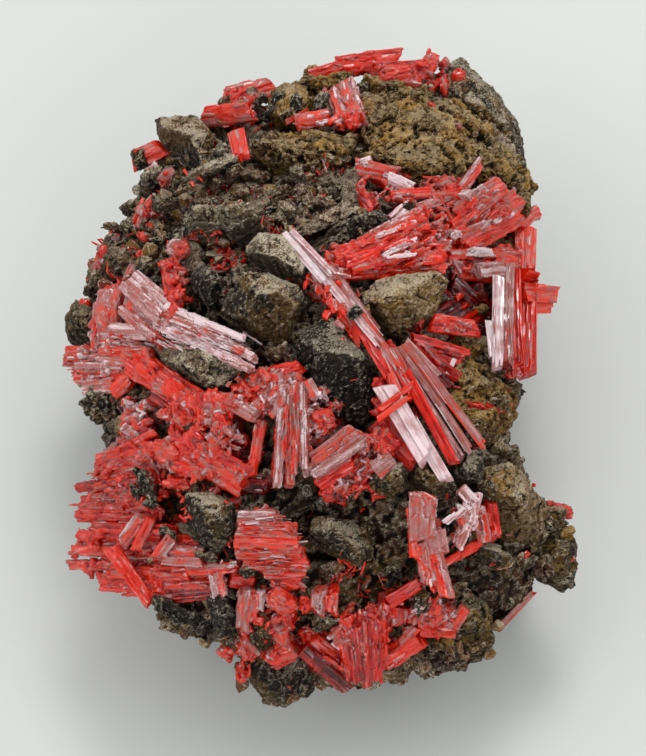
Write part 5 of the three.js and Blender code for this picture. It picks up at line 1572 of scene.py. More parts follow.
# %% Grown together rule
def grown_tree():
    tree, start, end = group_tree("Grown together", "GeometryNodeTree", {
        "Geometry": "Geometry", "Strips": "Object", "Splinters": "Object",
        "Groove Depth": 0.0001, "Step Size": 0.0009, "Step Depth": 0.0002,
        "Material": "Material"}, {"Geometry": "Geometry"})
    strips = add(tree, "GeometryNodeObjectInfo", None,
                 {"Object": start.outputs["Strips"]}).outputs["Geometry"]
    carried = start.outputs["Geometry"]
    for label, kind, domain in (("grain", "FLOAT_VECTOR", "POINT"), ("tint", "FLOAT", "FACE")):
        there = add(tree, "GeometryNodeInputNamedAttribute", {"data_type": kind}, {"Name": label})
        near = add(tree, "GeometryNodeSampleNearestSurface", {"data_type": kind},
                   {"Mesh": strips, "Value": there.outputs["Attribute"]})
        carried = add(tree, "GeometryNodeStoreNamedAttribute",
                      {"data_type": kind, "domain": domain}, {
                          "Geometry": carried, "Name": label,
                          "Value": near.outputs["Value"]}).outputs[0]
    grain = add(tree, "GeometryNodeInputNamedAttribute", {"data_type": "FLOAT_VECTOR"},
                {"Name": "grain"}).outputs["Attribute"]
    groove = cloudy(tree, vectors(tree, "MULTIPLY", grain, (1.0, 1.0, 0.06)), 2.2, 2.0)
    groove = maths(tree, "MULTIPLY", maths(tree, "SUBTRACT", groove, 0.5),
                   maths(tree, "MULTIPLY", start.outputs["Groove Depth"], 4.0))
    steps = add(tree, "GeometryNodeGroup", {"node_tree": CHIPS}, {
        "Position": vectors(tree, "MULTIPLY", grain, (0.001, 0.001, 0.00032)),
        "Size": start.outputs["Step Size"], "Depth": start.outputs["Step Depth"]}).outputs[0]
    facing = tree.nodes.new("GeometryNodeInputNormal").outputs[0]
    carved = add(tree, "GeometryNodeSetPosition", None, {
        "Geometry": carried, "Offset": vectors(tree, "SCALE", facing,
                                               maths(tree, "ADD", groove, steps))})
    place = tree.nodes.new("GeometryNodeInputPosition").outputs[0]
    stored = stored_proud(tree, carved.outputs[0], place, facing, 0.00005)
    thin = add(tree, "GeometryNodeObjectInfo", None,
               {"Object": start.outputs["Splinters"]}).outputs["Geometry"]
    joined = tree.nodes.new("GeometryNodeJoinGeometry")
    smooth = add(tree, "GeometryNodeSetShadeSmooth", None, {"Geometry": stored})
    tree.links.new(smooth.outputs[0], joined.inputs[0])
    tree.links.new(thin, joined.inputs[0])
    return end_in_mesh(tree, joined.outputs[0], start.outputs["Material"], end)


GROWN = grown_tree()


def grown_together(name, strips, splinters, material, voxel=0.00022):
    """One solid of the strips, with the splinters added to it."""
    sources = [link_object(name + suffix, growth.mesh(name + suffix, material))
               for suffix, growth in ((" strips", strips), (" splinters", splinters))]
    piece = link_object(name, sources[0].data.copy())
    run_rule(piece, GROWN, voxel, Strips=sources[0], Splinters=sources[1], Material=material)
    for source in sources:
        bpy.data.objects.remove(source)
    return piece


print("grown together tree:", len(GROWN.nodes), "nodes")

# %% [markdown]
# ### Where each cluster grows
# The prisms below are the CAD's own, from one place on the face to another, with a width and a
# thickness. Beside them stand the jumbles, ovals of short crystals that fill the hollows
# between the big ones.

# %% Clusters
# name: slot, tint, strip width, prisms, jumbles, lumps
# prism: from, to, width, thickness, then its own tint and its own settings, if any
# jumble: centre, reach, count, lengths, widths, then its own tint and settings, if any
# lump: centre, size along, across and out, heading, tint, number of parts if not the usual
CLUSTERS = {
    "long_lath_bundle": ("crocoite_pink", 0.8, 0.28, [
        ((-4.6, 23.4, 5), (2.4, 15.6, 5.3), 2.3, 1.8, 0.9, {"block": 1.2}),
        ((-0.6, 18.6, 5.2), (11, 4.6, 5.5), 1.3, 1.4, 0.85, {"block": 1.3}),
        ((1, 17.4, 3), (8.4, 7, 3.6), 4, 3.4, 0.5),
        ((7, 9.4, 4.2), (12.6, 0.6, 4.8), 2.6, 2.4, 0.62, {"block": 1.3}),
        ((11, 4.4, 4.2), (14.6, -3, 4.8), 3.4, 2.6, 0.43),
        ((10.8, -1.2, 5), (18.2, -13.4, 6.2), 3.3, 2.4,
         0.97, {"block": 3.3, "fine": 1.2, "spread": 0.03, "turn": 1.5, "loose": 0.1}),
        ((15.4, -7.2, 5.2), (21.4, -17, 5.8), 1.9, 1.6,
         0.97, {"block": 2, "spread": 0.03, "loose": 0.2}),
        ((14.2, 1, 5.4), (22.6, -14.2, 6), 1.5, 1.6, 0.44, {"block": 1.5}),
        ((13.6, 4.6, 4.6), (25.2, -12.6, 5.6), 3.6, 2.8,
         0.82, {"block": 1.3, "spread": 0.08}),
        ((14.6, 5.6, 4.6), (19.6, 0, 5), 1.1, 1.0, 0.9, {"block": 1.2}),
        ((10.4, -6.8, 3), (16.8, -13.4, 3), 4.4, 2.6, 0.34, {"block": 4.4, "fine": 1.2}),
        ((10.2, -5.6, 5.8), (15.6, -1.4, 6), 0.9, 0.8, 0.56, {"block": 1}),
        ((9.8, -7.2, 5.8), (15.2, -3.2, 6.2), 0.8, 0.8, 0.54, {"block": 1}),
        ((11.2, -4.6, 5.8), (16, -0.8, 6), 0.6, 0.6, 0.58, {"block": 1}),
    ], [
        ((1.4, 15.2, 4.2), (2.8, 5.4), 90, (1, 3.4), (0.3, 1.4),
         0.58, {"heading": -60, "wander": 55}),
        ((5.4, 10, 4.4), (2, 3), 30, (1, 3), (0.3, 1), 0.6, {"heading": -60, "wander": 40}),
    ], []),
    "centre_right_fan": ("crocoite_pink", 0.56, 0.36, [
        ((2.6, 17.2, 2.4), (22, 18.4, 3), 3.2, 2.6, 0.5),
        ((3.4, 18.6, 2.8), (17, 24, 4.6), 3.2, 2.6),
        ((5, 17.6, 2.8), (15.4, 21.4, 4.2), 2.8, 2.2, 0.62),
        ((9, 22.4, 3), (18, 27, 4.6), 2.4, 2, 0.66),
        ((13, 22, 2), (22.4, 23.6, 2.5), 3.4, 3, 0.52),
        ((9.2, 22.6, 4.8), (16.4, 25.4, 5.4), 0.6, 0.6, 0.95, {"block": 1, "spread": 0.03}),
        ((10.8, 19.7, 4.8), (16.6, 22.4, 5.4), 0.6, 0.5,
         0.95, {"block": 1, "spread": 0.03}),
        ((11.4, 19.3, 4.8), (16.8, 20, 5.2), 0.5, 0.5, 0.96, {"block": 1}),
        ((12.2, 25.6, 4.4), (14.6, 27.6, 5), 1.8, 1.2, 0.9, {"block": 0.6}),
    ], [
        ((12, 20.4, 3.6), (9, 3.2), 130, (1.4, 4.6), (0.2, 0.8),
         0.56, {"heading": 20, "wander": 25, "rise": 18}),
        ((17.4, 24, 3.6), (4.5, 3), 80, (1, 3.2), (0.3, 1), 0.6, {"heading": 35, "wander": 60}),
    ], [((19.3, 19.3, 3.2), (4.2, 3.2, 3), 0, 0.53)]),
    "thick_bundle": ("crocoite_red", 0.6, 0.8, [
        ((22.4, 23.2, 3), (33.4, 30.2, 3.4), 3.4, 4, 0.62, {"block": 3.4}),
        ((23.4, 21.6, 2.8), (34.6, 27.2, 2.6), 3.4, 4, 0.56, {"block": 3.4}),
        ((24.6, 26.8, 3.6), (31, 31.6, 4), 3.2, 3.4, 0.64, {"block": 3.2, "fine": 0.7}),
        ((24.8, 28.2, 5), (28.8, 31, 5.2), 2.6, 1.4,
         0.85, {"block": 2.6, "fine": 2.6, "spread": 0.03}),
        ((20, 31.4, 1.8), (24.4, 33.4, 3), 2.4, 2, 0.66),
        ((24.2, 31, 3), (27.4, 35.6, 4.4), 1.7, 1.4, 0.67, {"block": 1.7}),
        ((22.6, 32.4, 2.6), (24, 35.4, 3.4), 1.6, 1.2, 0.78),
        ((19, 28.6, 1.4), (25, 29.6, 3), 3, 2.4, 0.62),
        ((21.4, 19.6, 2.2), (33.4, 19.4, 2), 2.6, 3, 0.45),
        # This near-white strip is a painted glint.
        ((25.2, 20.5, 4.3), (29.4, 20.4, 4.3), 1.2, 1,
         0.98, {"block": 1.2, "fine": 1.2, "spread": 0.02}),
        ((26.6, 17.2, 2.6), (31.2, 17.8, 2.8), 2.2, 2, 0.83, {"block": 2.2}),
        ((22.6, 17.4, 0.6), (29, 17, 0.4), 2.4, 2, 0.6),
        ((29.4, 19.6, 3.4), (33.4, 18.6, 3.6), 1.8, 1.6, 0.55),
        ((34, 25.4, 1.6), (37.2, 27.6, 1.2), 1.8, 2, 0.66),
    ], [
        ((28, 27, 4.4), (5.5, 3.2), 60, (1.5, 4), (0.3, 1.1),
         0.63, {"heading": 35, "wander": 18, "rise": 12}),
        ((21, 30, 2.6), (4, 3.4), 60, (0.8, 2.6), (0.3, 0.9), 0.6),
        ((25, 19, 2.2), (4, 2), 30, (0.8, 2.4), (0.3, 0.9), 0.68),
        ((23, 25, 2.8), (3, 2.6), 36, (0.8, 2.6), (0.3, 0.9), 0.52),
    ], [((23, 23.1, 4.6), (2.6, 1.8, 1.6), 30, 0.92)]),
    "right_columns": ("crocoite_red", 0.6, 0.28, [
        ((34.8, 24.4, 0.6), (34.6, 16.6, 1.6), 3.4, 4.6, 0.57, {"block": 3.4, "spread": 0.05}),
        ((30.1, 16.3, 4), (29.6, 0.9, 5), 1.7, 2.4,
         0.95, {"block": 1.7, "spread": 0.06, "turn": 2}),
        ((31.9, 18.4, 3.6), (31, 1.4, 4.6), 1.5, 2.2, 0.8, {"block": 1.5, "turn": 2}),
        ((28.5, 9, 4), (29, 3, 4.6), 1.2, 1.4, 0.9, {"block": 1.2}),
        ((33, 17.8, 2.6), (33, 0.6, 3.6), 1.8, 2.6, 0.42, {"block": 1.8}),
        ((35.2, 16.4, 0.8), (34.8, 0.6, 2), 3, 4, 0.42, {"block": 3}),
        ((34.7, 8.6, 3.6), (34.2, 0.6, 4.4), 1.9, 1.4, 0.63, {"block": 1.9}),
        ((34.2, 13, 1.8), (39.2, 12.6, 2), 4.4, 4, 0.6, {"block": 4.4, "fine": 1}),
        ((34.2, 16.4, 3), (36.8, 15.8, 3), 2.4, 2.4, 0.56, {"block": 2.4, "fine": 1.2}),
    ], [
        ((31, 3.4, 4.8), (2.6, 2), 24, (0.8, 2.6), (0.2, 0.7),
         0.75, {"heading": -90, "wander": 12}),
    ], []),
    "vug_wall": ("crocoite_red", 0.22, 0.9, [
        # The deepest tints, on the crystals low in the pocket, are partly painted shade of the
        # pocket.
        ((21, 14.4, -1.5), (27.6, 8.4, -3.6), 6, 3, 0.14, {"block": 3}),
        ((26, 15, -2), (28.4, 9, -3.4), 3, 3, 0.18, {"block": 3}),
        ((19, 8.7, 2), (27, 7.5, 2.2), 2.3, 2, 0.5, {"fine": 0.5}),
        ((20, 8, -0.4), (28.4, 13.6, -3), 5, 3, 0.1),
        ((15.4, 5.6, 1.4), (24.8, 2.6, 2), 2.6, 2, 0.3, {"fine": 0.4}),
        ((15.6, 4.4, 1.4), (22.6, -1, 1.8), 3, 2.2, 0.24, {"fine": 0.4}),
        ((16, 3, 0.8), (20.4, -2.8, 1.2), 2.4, 2, 0.2, {"fine": 0.5}),
    ], [
        ((23, 8.2, 3), (4, 0.9), 30, (0.8, 2.6), (0.2, 0.7),
         0.72, {"heading": 0, "wander": 25}),
        ((19.4, 2.4, 2.2), (4, 3), 40, (1, 3.4), (0.2, 0.6),
         0.42, {"heading": -25, "wander": 20}),
    ], []),
    "back_edge_laths": ("crocoite_red", 0.55, 0.8, [
        ((-1.4, 50.7, -1), (4.2, 52.6, 0), 1.8, 2.2, {"block": 1.8}),
        ((4, 52.4, -0.5), (14, 54.2, 1), 3.4, 3, {"fine": 0.4, "block": 3.4}),
        ((10, 50.4, -0.4), (18.6, 51, 0.2), 4.4, 3.6, 0.5, {"block": 4.4}),
    ], [
        ((14, 50.4, 1), (4, 2), 24, (0.8, 2.4), (0.4, 1.2), 0.54),
    ], [((13.6, 50.6, 0.4), (9.6, 5.6, 4.6), 10, 0.52, 9),
        ((18, 51, 0.6), (7, 5.6, 4.6), 0, 0.54, 9),
        ((19.2, 53, 1.2), (5.6, 3.8, 3.6), 55, 0.6, 4),
        ((21.8, 52.8, 0.8), (2.6, 2.4, 2.6), 0, 0.7),
        ((21.6, 48.8, 1.4), (1.7, 3.6, 2), 10, 0.56), ((24.2, 50.9, 2.2), (3, 3.2, 2.6), 0, 0.6)]),
    "back_left_plates": ("crocoite_red", 0.6, 1.1, [
        ((-19.4, 43.4, 1.8), (-10.4, 44.2, 1.8), 2.8, 2, {"block": 2.8}),
        ((-15.6, 46.6, 0.4), (-6.2, 49, 0), 3.2, 2, {"block": 3.2}),
        ((-13.4, 45, 0.5), (-9.8, 48.4, 0.5), 3, 2, {"block": 3}),
    ], [((-11.6, 45.6, 1.6), (4, 2.2), 20, (0.8, 2.4), (0.3, 0.9), 0.56)], []),
    "back_chunk": ("crocoite_pink", 0.6, 0.9, [
        ((4.4, 48, 2.6), (5.8, 42.8, 4), 4.2, 4, 0.72, {"block": 4.2}),
        ((-3.4, 42.2, 3), (2.6, 43.4, 4), 2.4, 2, 0.62),
    ], [((5, 43, 5), (2.4, 2), 20, (0.8, 2.2), (0.4, 1.1), 0.5)],
        [((5.6, 42.5, 4.2), (4.8, 3.2, 3.2), 0, 0.48),
         ((-1, 42.4, 3.2), (5.6, 2.6, 1.8), 5, 0.62)]),
    "pale_lath": ("crocoite_pink", 0.8, 0.5, [
        ((6.4, 34.9, 1.8), (13.6, 33.4, 2.8), 2.2, 1.8, 0.72, {"block": 2.2}),
        ((7.6, 35.3, 3), (9.2, 35.9, 3.2), 1.2, 0.8, 0.98, {"block": 1.2}),
        ((12, 33, 3), (16, 31.2, 3.4), 1.7, 1.2, 0.93, {"block": 1.7}),
        ((8, 30, 0.6), (9.6, 27.4, 1.4), 2.4, 1.8, 0.3),
        ((9.4, 33, 0.4), (12.8, 31.6, 1), 1.6, 1.2, 0.28),
        ((12.4, 29.6, 2.4), (19, 30.4, 3), 1.6, 1.4, 0.6),
        ((16.4, 27.6, 2.6), (20.6, 29, 3), 1.4, 1.2, 0.72),
    ], [((13, 29.6, 2.6), (4.5, 2.4), 60, (0.7, 2.4), (0.25, 0.8), 0.68,
        {"heading": 15, "wander": 50})], []),
    "small_left_slab": ("crocoite_pink", 0.62, 1.0, [
        ((-30.8, 36, 0), (-25.6, 38.6, 0.5), 2.8, 2, {"block": 2.8}),
        ((-27.6, 35.2, 1), (-24.8, 32, 1.4), 1.7, 1.4, 0.78, {"block": 1.7}),
    ], [], []),
    "smooth_slab": ("crocoite_pink", 0.66, 0.9, [
        ((-35.6, 12, 0), (-35.8, 4.6, 1), 2.6, 2.4, 0.6),
    ], [((-33.4, 5.8, 2.4), (2.6, 1.6), 30, (0.8, 2.4), (0.3, 0.9), 0.7)],
        [((-33.3, 9.8, 1.6), (12.6, 7.6, 5.6), 96, 0.7, 4),
         ((-29.2, 11.5, 2.6), (4.6, 3.2, 2.6), 8, 0.6),
         ((-33.8, 14, 0.8), (4, 3, 2.4), 30, 0.56)]),
    "fibrous_sweep": ("crocoite_pink", 0.84, 0.28, [
        ((-26.4, 9.2, 4), (-9.6, 1.8, 5.6), 2.6, 2.4, 0.93, {"block": 1.3, "spread": 0.08}),
        ((-25, 10.8, 4), (-11.4, 4.8, 5.8), 2.4, 2, 0.86, {"block": 1.2}),
        ((-30.6, 15.6, 3), (-23.6, 9.6, 4.4), 4.2, 3, 0.86, {"turn": 2, "spread": 0.08}),
        ((-31.4, 11.6, 3), (-25, 6.6, 4), 3.2, 2.6, 0.76, {"spread": 0.1}),
        ((-28, 14.8, 3.6), (-25, 10, 4.4), 2, 1.8, 0.86),
        ((-35.6, 6.2, 1.6), (-27.4, 5.4, 3.4), 5, 3,
         0.66, {"block": 2.5, "turn": 2, "fine": 0.36}),
        ((-35.4, 3.4, 1.4), (-27, 3.2, 3.2), 2.6, 2.4, 0.7),
    ], [
        ((-18, 5.8, 5.4), (8, 1.6), 110, (1, 4), (0.12, 0.4),
         0.92, {"heading": -24, "wander": 12, "rise": 10, "lift": 0.5}),
        ((-30.6, 5, 3.2), (4, 2.6), 60, (1, 3), (0.15, 0.5),
         0.74, {"heading": -8, "wander": 12, "rise": 10, "lift": 0.5}),
    ], []),
    "red_column": ("crocoite_red", 0.48, 0.6, [
        ((-24.2, 19, 2), (-22.8, 11, 3.4), 2.6, 2.6, {"block": 2.6}),
    ], [((-23.4, 14.6, 4.6), (1.7, 5), 46, (0.6, 1.9), (0.3, 1.1), 0.5),
        ((-22, 21.4, 3.6), (3, 2), 26, (0.5, 1.5), (0.3, 0.8), 0.55)],
        [((-24, 17.8, 3.6), (3.2, 2.6, 2.8), 0, 0.47), ((-23.6, 15.6, 4), (3, 2.8, 2.8), 20, 0.5),
         ((-22.8, 13.2, 4.2), (3, 2.8, 2.6), 0, 0.5),
         ((-23.2, 10.8, 4.4), (2.8, 2.6, 2.4), 40, 0.48),
         ((-22.6, 20.8, 3), (5.2, 4, 2.8), 10, 0.68)]),
    "left_blades": ("crocoite_pink", 0.68, 0.3, [
        ((-30.4, 3.4, 1.4), (-42, 3.4, -1.4), 2.4, 2, 0.68),
        ((-31, 0.8, 1.2), (-40.4, 0.4, -1), 2.8, 2.4, 0.68),
        ((-33, -1.6, 0.6), (-39, -2.2, -1), 2, 1.8, 0.75),
        ((-30.4, -0.2, 1.6), (-33.4, -2.8, 1), 2, 1.4, 0.6, {"block": 2}),
    ], [((-37, 2.4, 0.8), (4.6, 2.8), 70, (1, 3.2), (0.15, 0.5),
         0.76, {"heading": 4, "wander": 14, "rise": 10, "lift": 0.6})],
        [((-40.8, 3, -0.8), (3, 2.4, 2), 20, 0.62), ((-38.2, 3.6, 0.2), (4, 2.4, 1.8), 0, 0.8),
         ((-34.4, 1.4, 2), (3, 2.4, 1.4), 60, 0.85)]),
    "red_band": ("crocoite_orange", 0.47, 0.9, [
        ((-30.4, 2.6, 2.2), (-19, -5, 3.6), 4, 3, {"block": 4, "fine": 1.2, "spread": 0.04}),
        ((-26, -2.4, 2.5), (-16.4, -6.4, 3.4), 3.6, 3, 0.52, {"block": 1.8}),
        ((-14.6, -3.6, 3.6), (-9.8, -6.4, 4.2), 2, 1.6, 0.76, {"fine": 0.35}),
        ((-14, -3.6, 2.4), (-2.4, -3.6, 3), 4, 3, 0.5),
        ((-10, -1.2, 2), (-2, 0.4, 2.5), 3.6, 2.6, 0.55),
    ], [
        ((-8, -3, 3.8), (5.6, 4), 120, (0.8, 2.4), (0.4, 1.3), 0.66),
        ((-15.6, -6, 3.6), (4, 3), 60, (0.8, 2.6), (0.4, 1.5), 0.56),
        ((-22.4, -6.6, 3.4), (4, 2), 40, (0.8, 2.2), (0.4, 1.3), 0.58),
    ], [((-26.6, 0.4, 2.8), (8.6, 4.8, 3.6), -42, 0.48, 6),
        ((-22.4, -2.8, 3.4), (7, 4.6, 3.2), -42, 0.5),
        ((-20, -5, 3.2), (5, 3.4, 2.8), -60, 0.5), ((-24, -6.4, 3), (4.4, 2.4, 2), -10, 0.58),
        ((-21.4, -7.6, 2.8), (4, 3, 2.2), -40, 0.56),
        ((-16.6, -3.8, 3.6), (4.6, 3.6, 2.8), -30, 0.5),
        ((-15.4, -7.4, 3), (4, 3, 2.4), -40, 0.52),
        ((-5.6, -4.2, 3.8), (6.4, 3.2, 2.6), 100, 0.78)]),
    "faceted_chunk": ("crocoite_red", 0.46, 1.2, [
        ((-20.6, -12, 2), (-11, -17.4, 1), 4.4, 4, 0.4),
        ((-16, -12.2, -0.5), (-8, -12.6, -2), 3, 2.4, 0.1, {"block": 3}),
        ((-15, -16.8, 0), (-6.6, -17.6, -1), 3, 2.6, 0.18, {"block": 3}),
        ((-15, -10, 1), (-10.8, -10.2, 1), 1.5, 1.6, 0.32, {"block": 1.5}),
        ((-8.6, -7, 2), (-10.4, -16.6, 1.8), 1.5, 1.3,
         0.6, {"block": 1.5, "spread": 0.03, "loose": 0}),
    ], [
        ((-15, -10.4, 2.4), (3, 2.4), 46, (0.7, 2), (0.3, 1), 0.7),
        ((-12.4, -16.2, 1.6), (3.4, 1), 36, (0.6, 1.8), (0.3, 0.9), 0.6),
        ((-21, -17, 3), (5, 1.8), 60, (0.7, 2.4), (0.3, 1.1), 0.54),
        ((-25, -14, 3.4), (4, 3), 40, (0.6, 1.8), (0.3, 1), 0.6),
    ], [((-24.2, -12.2, 3.6), (6, 5, 3.6), 0, 0.6), ((-27.6, -13, 3), (3.6, 3, 2.6), 40, 0.6),
        ((-19.4, -10.6, 2.6), (6, 5.4, 3), -60, 0.45),
        ((-20, -15.4, 2.6), (7.6, 3, 2.4), -15, 0.5),
        ((-22.4, -17.4, 2.4), (5.6, 2.4, 2), -10, 0.54),
        ((-15, -13.2, 1), (4.4, 4, 2.6), -50, 0.36)]),
    "left_spray": ("crocoite_red", 0.52, 0.5, [
        ((-26, -13, 2), (-35.6, -14.8, -0.6), 3.2, 3, 0.58),
        ((-26, -15.6, 1.6), (-35, -16.2, -0.4), 2.6, 2.6, 0.57),
        ((-27.6, -18, 1.4), (-38.6, -19.6, -1), 3, 2.8, 0.5),
        ((-27, -20.6, 1.2), (-40, -21, -1.2), 2.2, 2.4, 0.42),
        ((-26, -22.7, 0.8), (-40.2, -23, -1.6), 1.7, 2.4,
         0.48, {"block": 1.7, "ragged": 0.03}),
        ((-36, -14.2, 0.8), (-26, -9, 3.4), 1.3, 1.3, 0.57, {"block": 1.3}),
    ], [
        ((-32, -18, 1), (5, 4.4), 90, (1.4, 5), (0.15, 0.6),
         0.6, {"heading": 186, "wander": 14, "rise": 8}),
        ((-28, -5.4, 2.8), (3.4, 2), 50, (0.6, 2), (0.3, 0.9), 0.82),
        ((-30, -9, 2), (3, 3.4), 50, (0.6, 2), (0.3, 1), 0.74),
    ], [((-29.2, -7.8, 1.4), (7, 6, 3.6), 60, 0.76), ((-28, -5, 2.2), (5, 2.4, 2), 10, 0.78),
        ((-33.4, -12.4, 0), (6, 2.8, 2.4), 40, 0.72)]),
    "left_lower_prisms": ("crocoite_red", 0.46, 0.8, [
        ((-24, -25.4, 1.2), (-37.6, -25.4, -1), 2.4, 3, 0.43, {"ragged": 0.05}),
        ((-18, -27.4, 1.4), (-40, -27.4, -1.2), 3, 3.4, 0.45, {"ragged": 0.05}),
        ((-16, -30, 1.4), (-40.4, -30.2, -1.4), 3.2, 3.6, 0.44, {"ragged": 0.05}),
        ((-20, -32.2, 1), (-34, -32, -1), 2, 2.6, 0.5),
        ((-24.6, -33.8, 0.6), (-35.8, -34, -1.6), 2.8, 2.6,
         0.43, {"block": 2.8, "ragged": 0.04}),
        ((-16, -34.4, 0.6), (-27.6, -35.4, -0.6), 3, 3, 0.6, {"fine": 0.35}),
        ((-18, -29.4, 2.6), (-25, -29, 2.2), 3, 2, 0.6, {"fine": 0.4}),
        ((-12.6, -31, 2.8), (-21.4, -31.4, 2.6), 1.5, 1.3, 0.56, {"block": 1.5}),
        ((-33.6, -28, 2.6), (-26.4, -37.6, 1.8), 2.1, 1.8,
         0.52, {"block": 2.1, "fine": 1, "spread": 0.04, "loose": 0.2}),
        ((-28.4, -22.8, 3), (-31.8, -27.4, 2.4), 1.9, 1.6, 0.8, {"block": 1.9}),
        ((-26.8, -23, 2.6), (-29.4, -28.6, 2.4), 1.3, 1.2, 0.62, {"block": 1.3}),
        ((-23.4, -26.2, 3.4), (-25.6, -29.4, 3.2), 1.6, 1.4, 0.68),
        ((-16.2, -32, 3), (-15.4, -35.6, 3), 2.2, 1.6, 0.84, {"block": 1.1}),
        ((-14, -33, 1), (-9.6, -33.8, 1), 2.2, 2, 0.4),
    ], [
        ((-23, -28.4, 2.8), (4, 2), 40, (0.7, 2.4), (0.2, 0.8),
         0.62, {"heading": 180, "wander": 40}),
        ((-28, -31.6, 1.6), (8, 3), 70, (1.4, 5), (0.2, 0.7),
         0.52, {"heading": 180, "wander": 8, "rise": 6, "lift": 0.6}),
        ((-22.5, -24, 2.2), (3, 1.6), 26, (0.7, 2.4), (0.2, 0.8), 0.4,
         {"heading": -40, "wander": 30}),
    ], []),
    "centre_column": ("crocoite_red", 0.6, 0.38, [
        ((-4.6, -1.4, 3.6), (-5.2, -18, 4.4), 2.6, 3, 0.65, {"block": 1.3, "ragged": 0.06}),
        ((-2.6, -1, 3.4), (-2.8, -16, 4.2), 2, 2.6, 0.6, {"block": 1, "ragged": 0.06}),
        ((-6.1, -8, 3), (-6.3, -18, 3.6), 0.9, 2, 0.44, {"block": 1}),
        ((-1.3, -0.6, 5.4), (0.3, -3.8, 5.4), 1.5, 1.2, 0.98, {"block": 0.8}),
    ], [
        ((0.8, -7.6, 3.2), (3.4, 4.6), 110, (0.7, 2.2), (0.3, 1.2), 0.7),
        ((-4, -9, 5), (2, 6), 50, (1, 3.4), (0.12, 0.4),
         0.72, {"heading": -92, "wander": 7, "rise": 8, "lift": 0.5}),
    ], [((1.4, -7.6, 2.6), (4.6, 6, 2.8), 0, 0.6)]),
    "diagonal_bundle": ("crocoite_red", 0.6, 0.34, [
        ((-1, -15.8, 3.2), (8, -9.4, 4.8), 2.6, 2.8, 0.62, {"block": 1.3}),
        ((-0.6, -13.6, 3.4), (6.4, -8.2, 4.6), 1.8, 2, 0.74),
        ((0.4, -17.4, 2.6), (6, -14, 3.4), 2, 2, 0.5),
        ((9.4, -8.6, 3.4), (12.8, -12.4, 4.2), 2.8, 2.4, 0.58),
        ((9.6, -15.4, 3.6), (12.4, -13.4, 4), 2.6, 2, 0.78, {"block": 2.6}),
        ((3, -20, 1), (9, -13, 2), 3.6, 2.6, 0.36),
    ], [
        ((10, -12, 4), (3, 3.4), 60, (0.7, 2.2), (0.3, 1), 0.64),
        ((5.4, -17, 2.8), (3.6, 2.6), 50, (0.6, 2), (0.3, 1), 0.6),
    ], [((3, -18.6, 1.8), (5, 4, 3), 20, 0.36), ((2.4, -17.4, 2.6), (3, 2.4, 2), 40, 0.52)]),
    "fibrous_slab": ("crocoite_orange", 0.6, 0.3, [
        ((-13, -22.8, 2.6), (-6, -22.6, 3.2), 1.8, 2.4, 0.68, {"turn": 2}),
        ((-13, -24.6, 2.8), (-3.4, -24.8, 3.8), 2.2, 3, 0.64, {"turn": 2}),
        ((-13, -26.6, 3), (-2.4, -26.8, 4), 2.2, 3, 0.57, {"turn": 2}),
        ((-13, -28.4, 2.8), (-1.6, -28.4, 3.8), 2, 3, 0.6, {"turn": 2}),
        ((-12, -30.2, 2.4), (-1.4, -30, 3.6), 2, 2.6, 0.64, {"turn": 2}),
        ((-8.4, -31.8, 2), (-1.4, -32, 3), 1.8, 2.4, 0.68, {"turn": 2}),
    ], [((-7.6, -27, 4.2), (5, 4.6), 130, (0.8, 3), (0.12, 0.4),
         0.62, {"heading": 0, "wander": 10, "rise": 10, "spread": 0.16, "lift": 0.4})], []),
    "lower_left_blocks": ("crocoite_red", 0.56, 0.5, [
        ((-11.5, -34.4, 2.6), (-11.9, -41.4, 2.4), 1.7, 2.2, 0.74, {"block": 1.7}),
        ((-10, -35, 2.4), (-10.2, -40, 2.4), 1.4, 1.8, 0.6, {"block": 1.4}),
        ((-8.9, -34.6, 2.6), (-9, -38.2, 2.6), 1.2, 1, 0.9, {"block": 1.2}),
        ((1.6, -34.6, 3), (1.2, -38.8, 3.4), 4, 3, 0.68, {"block": 2}),
    ], [
        ((-11.4, -43, 2), (1.8, 3), 40, (0.7, 2.2), (0.3, 0.9), 0.58,
         {"heading": -80, "wander": 40}),
        ((-4, -40, 2.8), (4, 2.4), 40, (0.7, 2), (0.3, 1), 0.58),
        ((0, -33.4, 3), (6, 1.4), 60, (0.7, 2.2), (0.2, 0.8), 0.62, {"heading": 0, "wander": 40}),
    ], [((-5.2, -36.4, 3.2), (6, 5.4, 3.6), -20, 0.6, 6),
        ((-4.6, -33.6, 2.8), (7, 2, 2.4), -5, 0.56),
        ((-1.8, -37, 3), (4, 2, 2.6), 100, 0.54), ((-5.6, -45.2, 1.8), (6.6, 5, 3.4), 20, 0.58),
        ((-5.6, -42, 2), (5, 3.4, 3), -60, 0.6), ((-11, -43.4, 1.2), (6, 2.8, 2.6), 80, 0.54),
        ((-12, -48.2, 0.4), (4.4, 2.6, 2.6), 80, 0.52),
        ((-14.4, -45.2, 0.4), (3.6, 3, 2.2), -20, 0.6)]),
    "bottom_fan": ("crocoite_red", 0.5, 0.6, [
        ((-1.6, -43.2, 2.8), (5.4, -49.4, 1), 4.6, 3.6,
        0.48, {"block": 2.3, "ragged": 0.04}),
        ((4.2, -40.6, 3.4), (6.2, -49.6, 1.6), 2, 3, 0.52, {"ragged": 0.04}),
        ((6.4, -40, 3.4), (7.6, -49.8, 1.6), 2.4, 3.4,
        0.54, {"block": 1.2, "ragged": 0.04}),
        ((8.6, -39, 3.4), (9.2, -50, 1.4), 2.6, 3.6, 0.46, {"ragged": 0.04}),
        ((10.4, -39, 3.2), (10.8, -48.4, 1.4), 1.8, 3, 0.45, {"ragged": 0.04}),
        ((17, -42.4, 2.4), (11.4, -46.4, 1.4), 3.2, 3, 0.54, {"block": 3.2, "fine": 0.6}),
        ((16.6, -40.6, 2.4), (13.6, -43.6, 2), 1.6, 1.6, 0.6),
        ((0, -46.4, 0), (4.6, -49.4, -0.6), 3, 2.4, 0.24),
